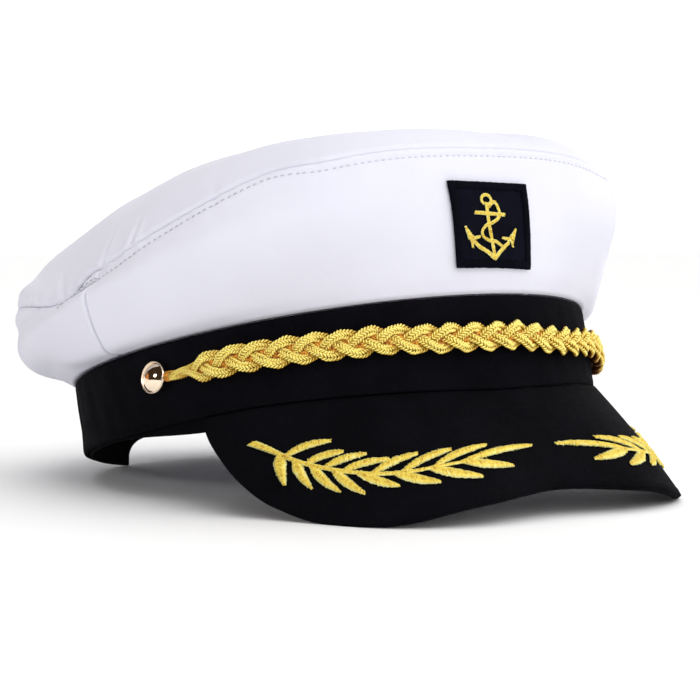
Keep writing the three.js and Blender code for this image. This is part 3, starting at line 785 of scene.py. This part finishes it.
# Topstitching: short threads that dip into the cloth at both ends
def stitch_row(cloth, points, normals, length, gap_length, radius, dip, unshaded_share=None):
    """Stitches along a line of close points, with the normals of the cloth there. unshaded_share holds
    how much each point's thread takes the cloth's white in place of its painted grey shade."""
    run = run_along(points)
    count = int(run[-1] // (length + gap_length))
    starts = np.arange(count) * run[-1] / count + rng.normal(0, 0.12, count)
    t = linspace(0, 1, 7)
    at = starts[:, None] + t[None, :] * length
    place, up = along_line(at, run, points), unit(along_line(at, run, normals))
    arch = (sin(pi * t) ** 0.6) * (radius + dip) - dip
    place = place + up * arch[None, :, None]
    tone = None if unshaded_share is None else np.interp(starts, run, unshaded_share)
    add_tubes(cloth, place, up, radius * (0.75 + 0.25 * sin(pi * t))[None, :], 6, tone=tone)


def crown_stitches(cloth, angles, lengths):
    normals = crown_normal(angles, level_at(angles, lengths))
    # Stitches at the front lose most of their painted grey shade; towards the side seams it stays
    unshaded_share = 0.85 * plateau(angles, -62, -10, 66, 78)
    stitch_row(cloth, crown_skin(angles, lengths, 0.0), normals, 1.55, 0.85, 0.23, 0.3, unshaded_share)


# One row runs along the front panel. Beside each side seam it is sewn over again a few times.
topstitch = Cloth()
around = linspace(-SIDE_SEAM_ANGLE - 7, SIDE_SEAM_ANGLE + 7, 1801)
crown_stitches(topstitch, around, seam_length(around) - stitch_drop(around))
for side in (-1, 1):
    for start, end, drop in ((-3, 8, 5.7), (-2, 5, 3.6), (-1, 3, 6.7)):
        around = side * linspace(SIDE_SEAM_ANGLE + start, SIDE_SEAM_ANGLE + end, 161)
        crown_stitches(topstitch, around, seam_length(around) - drop)
topstitch.make("Crown_topstitch", WHITE_THREAD)


# Band and the tape inside it: closed strips with soft folded edges
FOLD = 0.8


def add_strip(cloth, low, high, out, wall, columns, angles, wobble=None, bead=0.0):
    """Wall round the head from low up to high: outer face, folded top, inner face, folded foot.
    The outer face has the wobble and a bead beside both folds."""
    radius, face = wall / 2, linspace(0, 1, columns)
    bend = pi * linspace(0, 1, 7)[1:-1]
    sections = []
    for off, faces, end, turned in ((0.0, face, 1.0, -1), (-wall, face[::-1], 0.0, 1)):
        sections += [(off, share, 0.0) for share in faces]
        for b in bend:
            sections.append((off + turned * radius * (1 - cos(b)), end, -turned * radius * FOLD * sin(b)))
    rows, uv = [], []
    for off, share, beyond in sections:
        height = low + radius * FOLD + (high - low - 2 * radius * FOLD) * share + beyond
        if wobble and off > -0.6 * wall:
            folds = [exp(-((part * (high - low) - 1.6) ** 2) / 1.2) for part in (share, 1 - share)]
            off = off + wobble(angles, share) + bead * (folds[0] + folds[1])
        rows.append(around_head(angles, out + off, height))
        uv.append(stack([angles / DEGREES_PER_MM, height - off], -1))
    cloth.add(stack(rows), sheet_faces(len(rows), len(angles), True, True), stack(uv))


def band_wobble(angles, share):
    a = np.radians(angles)
    slow = 0.16 * sin(7 * a + 3 * share) + 0.1 * sin(17 * a + 1 + 4 * share)
    fold = 0.14 * sin(31 * a + 2.2) * sin(pi * share) + 0.1 * sin(53 * a + 5 * share)
    return (slow + fold) * sin(pi * min(max(share, 0.03), 0.97)) ** 0.5 - 0.1


turn = linspace(-180, 180, 541)[:-1]
band = Cloth()
add_strip(band, lower_edge(BAND_EDGE, turn), BAND_HEIGHT, 0.0, BAND_WALL, 22, turn, band_wobble, 0.12)
band.make("Band", BLACK, ["band"])

tape = Cloth()
add_strip(tape, lower_edge(STRIP_EDGE, turn), STRIP_HEIGHT, -BAND_WALL - CLEARANCE, STRIP_WALL, 14, turn)
tape.make("Sweatband", TAPE, ["sweatband"])

tape_stitch = Cloth()
around = linspace(-180, 180, 1801)
inside = -BAND_WALL - CLEARANCE - STRIP_WALL
line = around_head(around, inside, lower_edge(STRIP_EDGE, around) + 2.6)
stitch_row(tape_stitch, line, -outward(around), 2.4, 0.9, 0.22, 0.15)
tape_stitch.make("Sweatband_stitches", BLACK_THREAD)


# Peak: cloth over a board, wrapped round its rim
def peak_relief(share, out):
    """The cloth's fold shows as a faint ridge along the rim and pulls slightly between corners."""
    length = PEAK_REACH * np.sqrt(np.maximum(1 - np.abs(share) ** 4, 1e-4))
    edge = (1 - out) * length
    ripple = 0.10 * sin(share * 9 + 2.3 * out) * out + 0.07 * sin(share * 21 + 4 * out)
    return 0.18 * bell(edge - 2.2, 1.3) + ripple * clip(edge / 6, 0, 1)


quarter = pi / 2 * 0.985
shares = sin(linspace(-quarter, quarter, 221))
outs = 1 - (1 - linspace(0, 1, 44)) ** 1.25
radius = PEAK_WALL / 2
bend = linspace(0, pi, 11)[1:-1]
relief = peak_relief(shares, outs[:, None])
upper = peak_layer(shares, outs[:, None], relief)
lower = peak_layer(shares, outs[:, None], -PEAK_WALL - 0.4 * relief)[::-1]
rim, rim_normal = peak_point(shares, 1.0), peak_normal(shares, 1.0)
ahead = unit(rim - peak_point(shares, 0.9))
fold = [rim_normal * (cos(b) - 1) + ahead * 0.3 * sin(b) for b in bend]
points = concatenate([upper, rim + radius * stack(fold), lower])
rows, columns = points.shape[:2]
drop = concatenate([outs * PEAK_REACH, PEAK_REACH + bend * radius, PEAK_REACH * (2 - outs[::-1]) + 4])
uv = stack(np.broadcast_arrays(shares * PEAK_ARC, drop[:, None]), -1)
# Each corner is closed by quads between the upper and the lower cloth
k = np.arange((rows - 1) // 2) * columns
far = (rows - 1) * columns - k
caps = stack([far, far - columns, k + columns, k], -1)
other_caps = caps[:, ::-1] + columns - 1
peak = Cloth()
peak.add(points, concatenate([sheet_faces(rows, columns, close_rows=True)[:, ::-1], caps, other_caps]), uv)
peak.make("Peak", TWILL, ["peak"])


# Plaited cord
END = BUTTON_ANGLE - (BUTTON_RADIUS + CLEARANCE) * DEGREES_PER_MM
SHOULDER = END - CORD_END * DEGREES_PER_MM


def cord_place(angle, side, out):
    """Point on the plait: side is millimetres up from its centre line, out from the band."""
    height = BAND_HEIGHT * read(CORD, 1, angle)
    slope = (BAND_HEIGHT * (read(CORD, 1, angle + 0.5) - read(CORD, 1, angle - 0.5))) * DEGREES_PER_MM
    lean = np.arctan(slope)
    shifted = angle - sin(lean) * side * DEGREES_PER_MM
    return around_head(shifted, out, height + side * cos(lean)).reshape(*np.shape(angle), 3)


def plait_shape(angle):
    """Share of the full plait at an angle: 1 along the plait, 0 in the plain cord at its ends."""
    return smoothstep(END - np.abs(angle), END - SHOULDER - 2.2, END - SHOULDER + 3.0)


# Three strands, each of three twisted cords side by side, cross over and under each other. Each
# cord is two plies. The plait is plain cord at its ends, and thicker on the wearer's left.
LAY_LENGTH = 3 * PLAIT_LOBE
STRAND_CORDS = 3
CORD_PITCH, PLY_SIDES, CORE_SIDES = 2.1, 6, 12
# Millimetres in the plain cord at the ends, in the plait, and what it gains on the wearer's left
REACH, SWING, SPACING, PLY_RADIUS = (0.95, 3.4, -0.7), (0.5, 1.2, 0), (0.5, 0.98, 0.57), (0.2294, 0.37, 0.074)
CORE_HALF, CORE_DEPTH, CORE_SINK = (0.7, 2.5), (0.6, 1.1), 0.9
angle = linspace(-END, END, 1150)
full = plait_shape(angle)
arc = angle / DEGREES_PER_MM
jitter = 0.2 * sin(arc / 7.3 + 1) + 0.16 * sin(arc / 3.9)
thicker = smoothstep(angle, 5, 40)
reach, swing, spacing, ply = (
    blend(plain, plaited + gain * thicker, full)
    for plain, plaited, gain in (REACH, SWING, SPACING, PLY_RADIUS))
middle = CLEARANCE + CORD_THICKNESS / 2 + (PLAIT_DEPTH - CORD_THICKNESS) / 2 * full
head_out = outward(angle)
# Each ply is painted lighter on its outward side and darker on its inward side
painted_lit_side = sin(np.arange(PLY_SIDES) / PLY_SIDES * 2 * pi)
for strand in range(3):
    phase = 2 * pi * (arc / LAY_LENGTH + strand / 3)
    side = reach * sin(phase) + jitter * full
    out = middle + swing * sin(2 * phase)
    line = cord_place(angle, side, out)
    tangent = unit(np.gradient(line, axis=0))
    wide = unit(np.cross(head_out, tangent))
    over = np.cross(tangent, wide)
    travel = run_along(line)
    # How far the strand lies on top, read only for its painted highlight
    high = 0.5 + 0.5 * sin(2 * phase)
    cloth = Cloth()
    for cord in range(STRAND_CORDS):
        offset = cord - (STRAND_CORDS - 1) / 2
        rise = 0.5 * full * (1 - abs(offset)) - 0.1 + 0.12 * sin(travel / 2.3 + 2 * cord)
        stray = 0.22 * full * sin(travel / 0.9 + 2.1 * cord + strand) * sin(travel / 2.9 + cord)
        centre = line + wide * (offset * spacing + stray)[:, None] + over * rise[:, None]
        hand = 1 if cord % 2 else -1
        twist = hand * 2 * pi * travel / CORD_PITCH + cord * 1.1 + strand
        for half in (0, pi):
            swirl = wide * cos(twist + half)[:, None] + over * sin(twist + half)[:, None]
            path = centre + swirl * (ply * 1.15)[:, None]
            # Painted shade between the plies, painted highlight where the strand lies on top, at the plait's
            # edges and on each ply's outward side
            tone = -0.03 - 0.13 * thicker + 0.28 * sin(twist + half) + 0.46 * high**0.7
            tone = tone + rng.normal(0, 0.05) + 0.12 * (np.abs(side) / 3.25) ** 2
            tone = clip(tone[:, None] + 0.44 * painted_lit_side[None, :], 0, 1)
            add_tubes(cloth, path[None], head_out[None], ply[None], PLY_SIDES, tone=tone[None])
    cloth.make(f"Braid_strand_{strand + 1}", GOLD_CORD, ["braid"])

# A dark core shows between the strands
core = Cloth()
core_angle, core_out = angle[::5], middle[::5] - CORE_SINK
core_half, core_depth = (blend(*ends, full[::5]) for ends in (CORE_HALF, CORE_DEPTH))
rings = stack([
    cord_place(core_angle, core_half * cos(t), core_out + core_depth * sin(t))
    for t in np.arange(CORE_SIDES) / CORE_SIDES * 2 * pi
], 1)
core.add(rings, sheet_faces(len(core_angle), CORE_SIDES, close_columns=True))
core.make("Braid_core", CORE, ["braid"])

# A few turns of thread bind the cord next to each button
wrap = Cloth()
for sign in (-1, 1):
    for k in range(3):
        t = linspace(0, 2 * pi, 25)
        turn_angle = sign * (END - (0.5 + 0.55 * k) * DEGREES_PER_MM) + 0.12 * sin(t) * DEGREES_PER_MM
        half = 1.45 + 0.08 * sin(3.1 * k)
        depth = CLEARANCE + CORD_THICKNESS / 2 + 0.1 + 1.35 * cos(t)
        path = cord_place(turn_angle, half * sin(t), depth)
        add_tubes(wrap, path[None], unit(path - path.mean(0))[None], 0.32, 6)
wrap.make("Braid_bindings", CORE)


# Buttons: a rolled rim round a flat dome, tilted up a little
BUTTON_SIZE, BUTTON_TILT, BUTTON_RISE, BUTTON_LIFT = 0.94, 0.11, 0.8, 0.5


def button(name, node, angle_at):
    r, h = BUTTON_RADIUS * BUTTON_SIZE, BUTTON_HEIGHT
    back = [(r * 0.9 * t, 0.0) for t in linspace(0, 1, 4)]
    rolled = linspace(0, pi * 1.15, 14)
    rim = [(r * (0.93 + 0.07 * sin(t)), h * 0.3 * (1 - cos(t))) for t in rolled]
    dome = [(r * 0.87 * (1 - t), h * (0.46 + 0.44 * (1 - (1 - t) ** 2.3))) for t in linspace(0, 1, 22)]
    profile = np.array(back + rim + [(r * 0.885, h * 0.46)] + dome)
    turns = np.arange(72) / 72 * 2 * pi
    n = unit(outward(angle_at) + np.array([0.0, 0.0, BUTTON_TILT]))
    side = unit(np.cross([0.0, 0.0, 1.0], n))
    up = np.cross(n, side)
    height = BAND_HEIGHT * read(CORD, 1, angle_at) + BUTTON_RISE
    base = around_head(angle_at * 0.993, CLEARANCE + BUTTON_LIFT, height)[0]
    ring = side * cos(turns)[:, None] + up * sin(turns)[:, None]
    points = base + profile[:, None, :1] * ring[None] + profile[:, None, 1:] * n
    cloth = Cloth()
    cloth.add(points, sheet_faces(len(profile), len(turns), close_columns=True))
    cloth.make(name, METAL, [node])


button("Button_left", "button_left", BUTTON_ANGLE)
button("Button_right", "button_right", -BUTTON_ANGLE)


# Patch
FACE = CLEARANCE + PATCH_WALL * 0.75
patch = Cloth()
ups = linspace(-PATCH_HEIGHT / 2, PATCH_HEIGHT / 2, 61)
acrosses = linspace(-PATCH_WIDTH / 2, PATCH_WIDTH / 2, 67)
up_grid, across_grid = np.meshgrid(ups, acrosses, indexing="ij")
edge = np.minimum(PATCH_WIDTH / 2 - np.abs(across_grid), PATCH_HEIGHT / 2 - np.abs(up_grid))
puff = 0.25 * bell(edge - 1.2, 0.9) - 0.12 * bell(edge - 2.6, 0.45)
puff = puff + 0.05 * sin(across_grid * 0.9 + up_grid * 0.5)
add_slab(patch, cut_point(across_grid, up_grid, FACE + puff), cut_point(across_grid, up_grid, CLEARANCE),
         stack([across_grid, up_grid], -1))
patch.make("Patch", NAVY, ["patch"])


def patch_normal(x, y):
    return crown_normal(*crown_address(PATCH_OFFSET + x, PATCH_CENTRE + y))


# Overlocked border: slanted threads side by side over the patch's edge, along each side in turn
border = Cloth()
THREAD_PITCH, THREAD_SLANT = 0.42, 0.55
t = linspace(0, 1, 8)
lift = FACE + 0.26 + 0.16 * sin(pi * t) - 0.75 * exp(-t / 0.07) - 0.35 * exp(-(1 - t) / 0.06)
for corner, heading in (((-1, -1), (1, 0)), ((1, -1), (0, 1)), ((1, 1), (-1, 0)), ((-1, 1), (0, -1))):
    x0, y0 = corner[0] * PATCH_WIDTH / 2, corner[1] * PATCH_HEIGHT / 2
    dx, dy = heading
    length = PATCH_WIDTH if dx else PATCH_HEIGHT
    count = int(length / THREAD_PITCH)
    at = (np.arange(count) + 0.5) / count * length + rng.normal(0, 0.05, count)
    deep = 2.3 + rng.normal(0, 0.12, count)
    beyond = 0.08 + np.abs(rng.normal(0, 0.07, count))
    along = at[:, None] + THREAD_SLANT * (t - 0.5)
    inside = -beyond[:, None] + (deep + beyond)[:, None] * clip((t - 0.12) / 0.88, 0, 1)
    x = x0 + dx * along - dy * inside
    y = y0 + dy * along + dx * inside
    add_tubes(border, cut_point(x, y, lift), patch_normal(x, y), 0.25, 5)
border.make("Patch_border", BLACK_THREAD)


# Satin stitch: threads side by side across a stroke, over a low padded form
def left_of(heading):
    return stack([-heading[..., 1], heading[..., 0]], -1)


def satin(cloth, line, widths, place, normal, height, pitch=0.34, slant=0.5, radius=0.24, lift=0.0, jag=0.1):
    """line and widths run along the stroke on the flat drawing; place lays flat points down."""
    run = run_along(line)
    count = max(int(run[-1] / pitch), 2)
    at = (np.arange(count) + 0.5) / count * run[-1]
    centre = along_line(at, run, line)
    ahead = unit(along_line(at + 0.2, run, line) - along_line(at - 0.2, run, line))
    across = left_of(ahead)
    width = np.interp(at, run, widths)
    half = width / 2 + rng.normal(0, jag, count) * 0.5
    t = linspace(-1, 1, 6)
    reach = half[:, None] * t
    flat = centre[:, None] + across[:, None] * reach[..., None] + slant * ahead[:, None] * reach[..., None]
    arch = lift + height * (1 - np.abs(t) ** 2.6) * clip(width / 2.0, 0.55, 1)[:, None]
    arch = arch + rng.normal(0, 0.03, (count, 1))
    path = place(*np.moveaxis(flat, -1, 0), arch)
    # Random tone per thread and per point, plus a painted highlight towards both ends of each thread, at the
    # stroke's rims
    tone = rng.normal(0.36, 0.08, count)[:, None] + 0.62 * t**2 + rng.normal(0, 0.12, flat.shape[:2])
    up_vector = normal(*np.moveaxis(flat, -1, 0))
    add_tubes(cloth, path, up_vector, radius, 5, tone=clip(tone, 0, 1))


def padding(cloth, line, widths, place, height, lift=0.0):
    """Low rounded form under the stitches, in the yarn's painted shade tone where it shows between them."""
    across = left_of(unit(np.gradient(line, axis=0)))
    t = linspace(-1, 1, 7)
    flat = line[:, None] + across[:, None] * (widths[:, None] / 2 * t)[..., None]
    arch = lift + height * (1 - np.abs(t) ** 2.4) * clip(widths / 2.0, 0.4, 1)[:, None]
    faces = sheet_faces(*flat.shape[:2])
    x, y = np.moveaxis(flat, -1, 0)
    cloth.add(place(x, y, arch), faces[:, ::-1], tone=0.3)
    cloth.add(place(x, y, 0 * arch), faces, tone=0.3)


def smooth_line(points, n=40):
    """Catmull-Rom line through flat points."""
    p = np.asarray(points, float)
    p = np.vstack([2 * p[0] - p[1], p, 2 * p[-1] - p[-2]])
    spans = []
    for a, b, c, d in zip(p, p[1:], p[2:], p[3:]):
        t = linspace(0, 1, max(n // (len(p) - 3), 4), endpoint=False)[:, None]
        curve = (2 * a - 5 * b + 4 * c - d) * t**2 + (3 * b - a - 3 * c + d) * t**3
        spans.append(0.5 * (2 * b + (c - a) * t + curve))
    return np.vstack(spans + [p[-2][None]])


# Anchor: places are shares of the patch's width across and of its height up
ANCHOR_LIFT = 2 * CLEARANCE + PATCH_WALL
anchor = Cloth()


def on_patch(x, y, height):
    return patch_point(x, y, ANCHOR_LIFT - 0.25 + height)


def stroke(path, start, end, height, lift=0.0):
    line = smooth_line(path) * [PATCH_WIDTH, PATCH_HEIGHT]
    widths = linspace(start, end, len(line))
    padding(anchor, line, widths * 0.7, on_patch, height * 0.7, lift)
    satin(anchor, line, widths * 0.8, on_patch, patch_normal, height, pitch=0.3, slant=0.45, lift=lift)


FOOT = (0.0, -0.385)
stroke([(-0.228, 0.13), (0.168, 0.114)], 1.25, 1.25, 0.45)
stroke([FOOT, (-0.088, -0.312), (-0.19, -0.255), (-0.26, -0.19)], 1.5, 1.3, 0.5)
stroke([FOOT, (0.1, -0.277), (0.2, -0.195)], 1.5, 1.3, 0.5)
for tip, foot, barbs in (
    ((-0.364, -0.025), (-0.288, -0.165), ((-0.178, -0.14), (-0.276, -0.265))),
    ((0.3, -0.042), (0.232, -0.165), ((0.105, -0.148), (0.248, -0.25))),
):
    # Fluke: a pointed head with two barbs
    middle = tuple((a + b) / 2 for a, b in zip(tip, foot))
    stroke([tip, middle, foot], 0.5, 2.9, 0.55, lift=0.12)
    for barb in barbs:
        stroke([foot, barb], 1.5, 0.6, 0.4, lift=0.06)
stroke([(-0.068, 0.245), (-0.055, 0.0), FOOT], 1.35, 1.4, 0.55, lift=0.1)
RING, RING_HALF_WIDTH, RING_HALF_HEIGHT = (-0.064, 0.278), 0.063, 0.056
stroke([(RING[0] + RING_HALF_WIDTH * cos(t), RING[1] + RING_HALF_HEIGHT * sin(t))
        for t in linspace(-1.9, 4.2, 14)], 1.05, 1.05, 0.5, lift=0.12)
# Rope, from the ring round the shank to the foot
stroke([(-0.045, 0.2), (0.02, 0.252), (0.058, 0.24), (0.092, 0.15), (0.088, 0.095)], 1.1, 1.0, 0.5, lift=0.18)
stroke([(0.088, 0.095), (0.04, 0.05), (-0.018, 0.018), (-0.06, 0.0)], 1.1, 1.1, 0.5, lift=0.3)
stroke([(-0.06, 0.0), (-0.1, -0.015), (-0.152, -0.08), (-0.138, -0.14), (-0.073, -0.183)],
       1.0, 1.0, 0.5, lift=0.16)
stroke([(-0.073, -0.183), (0.008, -0.19), (0.083, -0.235), (0.13, -0.27)], 1.1, 0.9, 0.5, lift=0.3)
anchor.make("Anchor", GOLD_THREAD, ["anchor"])


# Laurel branches on the peak
def on_peak(x, y, height):
    return peak_layer(x / PEAK_ARC, -y / PEAK_REACH, CLEARANCE + height)


def on_peak_normal(x, y):
    return peak_normal(x / PEAK_ARC, -y / PEAK_REACH)


# Share of a leaf's length, its width in the inner row and in the outer row, in millimetres
LEAF_WIDTHS = np.array([
    [0, 0.8, 1.6], [0.12, 1.6, 3.1], [0.3, 2.5, 4.2], [0.5, 2.9, 4.0],
    [0.7, 2.7, 3.2], [0.88, 1.9, 2.0], [1, 0.9, 0.9],
])
# Share along the peak and width of the stem, from its thin tip to its cut butt
STEM_WIDTHS = np.array([[0.27, 1.0], [0.7, 1.6], [0.79, 2.3], [0.866, 5.2]])
# The wearer's left branch was stitched with its first inner leaves further out
STRAY_LEAVES, STRAY_OUT = 2, 0.09
for sign, name, node in ((1, "Laurel_left", "laurel_left"), (-1, "Laurel_right", "laurel_right")):
    laurel = Cloth()
    flat = lambda along, out: stack([sign * along * PEAK_ARC, -out * PEAK_REACH], -1)
    for index, (along, tip_along, tip_out, curve) in enumerate(LAUREL_LEAVES):
        outer = index >= INNER_LEAVES
        turned = sign if outer else -sign
        base = flat(along, read(LAUREL_STEM, 1, along))
        tip = flat(tip_along, tip_out + (STRAY_OUT if sign > 0 and index < STRAY_LEAVES else 0))
        ahead = tip - base
        sideways = left_of(ahead) * curve * turned
        t = linspace(0, 1, 24)
        line = base + ahead * t[:, None] + sideways * sin(pi * t)[:, None]
        widths = np.interp(t, LEAF_WIDTHS[:, 0], LEAF_WIDTHS[:, 2 if outer else 1])
        padding(laurel, line, widths * 0.86, on_peak, 0.42)
        satin(laurel, line, widths, on_peak, on_peak_normal, 0.6, slant=0.55 * turned, jag=0.3)
    along = linspace(STEM_WIDTHS[-1, 0], STEM_WIDTHS[0, 0], 60)
    line = flat(along, read(LAUREL_STEM, 1, along))
    widths = np.interp(along, STEM_WIDTHS[:, 0], STEM_WIDTHS[:, 1])
    padding(laurel, line, widths * 0.85, on_peak, 0.5, 0.1)
    satin(laurel, line, widths, on_peak, on_peak_normal, 0.6, slant=0.6, lift=0.2, jag=0.15)
    laurel.make(name, GOLD_THREAD, [node])


# Floor, lights and camera
def floor_paper(n):
    tint = n.ramp(n.noise(n.node("ShaderNodeTexCoord", output="Object"), 3.0, 3), 0.3, 0.7)
    n.shade(Base_Color=n.mix(tint, (0.975,) * 3, (0.985,) * 3), Roughness=0.9, Specular_IOR_Level=0.1)


FLOOR_REACH = 6.0
floor_mesh = bpy.data.meshes.new("floor")
corners = [(x, y, 0.0) for y in (-FLOOR_REACH, FLOOR_REACH) for x in (-FLOOR_REACH, FLOOR_REACH)]
floor_mesh.from_pydata(corners, [], [(0, 1, 3, 2)])
floor_mesh.materials.append(material("floor_paper", floor_paper))
add_object("Floor", floor_mesh)

# The studio is white all round, but for a dark corner on the left that the buttons mirror
world = bpy.data.worlds.new("studio")
bpy.context.scene.world = world
world.use_nodes = True
studio = Nodes(world.node_tree)
x, y, z = studio.split(studio.node("ShaderNodeTexCoord", output="Generated"))
toward = studio.add(studio.times(x, -0.88), studio.times(y, 0.40))
toward = studio.add(toward, studio.times(z, 0.26))
corner = studio.times(studio.ramp(toward, 0.52, 0.60), studio.ramp(z, 0.0, 0.04))
amber = studio.ramp(studio.add(studio.times(x, -0.60), studio.times(y, 0.80)), 0.95, 0.985)
dark = studio.mix(amber, (0.03, 0.02, 0.012), (0.45, 0.20, 0.08))
background = world.node_tree.nodes["Background"]
studio.feed(background.inputs["Color"], studio.mix(corner, (1.0, 1.0, 1.0), dark))
studio.feed(background.inputs["Strength"], 1.35)


def set_up(name, data, place, back, right):
    """Puts a light or a camera at a place in the scene, with its back and its right side given."""
    back = back / np.linalg.norm(back)
    right = right - back * (right @ back)
    right /= np.linalg.norm(right)
    axes = stack([right, np.cross(back, right), back, place], -1)
    obj = add_object(name, data)
    obj.matrix_world = Matrix([*axes.tolist(), [0, 0, 0, 1]])
    return obj


AIM = np.array([0, 0, 0.06])


def soft_light(name, place, size, power):
    lamp = bpy.data.lights.new(name, "AREA")
    lamp.shape = "RECTANGLE"
    lamp.size, lamp.size_y = size
    lamp.energy = power
    back = np.array(place) - AIM
    set_up(name, lamp, place, back, np.cross([0.0, 0.0, 1.0], back))


soft_light("Key", (-0.1, -1.2, 1.1), (0.9, 0.7), 3)
soft_light("Left", (-1.3, 0.1, 0.45), (0.22, 0.22), 2.8)

camera = bpy.data.cameras.new("Camera")
camera.lens = 110.417
camera.sensor_width = 36
camera.clip_start, camera.clip_end = 0.05, 30
bpy.context.scene.camera = set_up(
    "Camera", camera, (-0.45782, -0.64484, 0.09338),
    back=np.array([-0.5818, -0.8113, 0.0571]), right=np.array([0.8128, -0.5826, 0.0037]))
bpy.context.scene.view_settings.view_transform = "Standard"
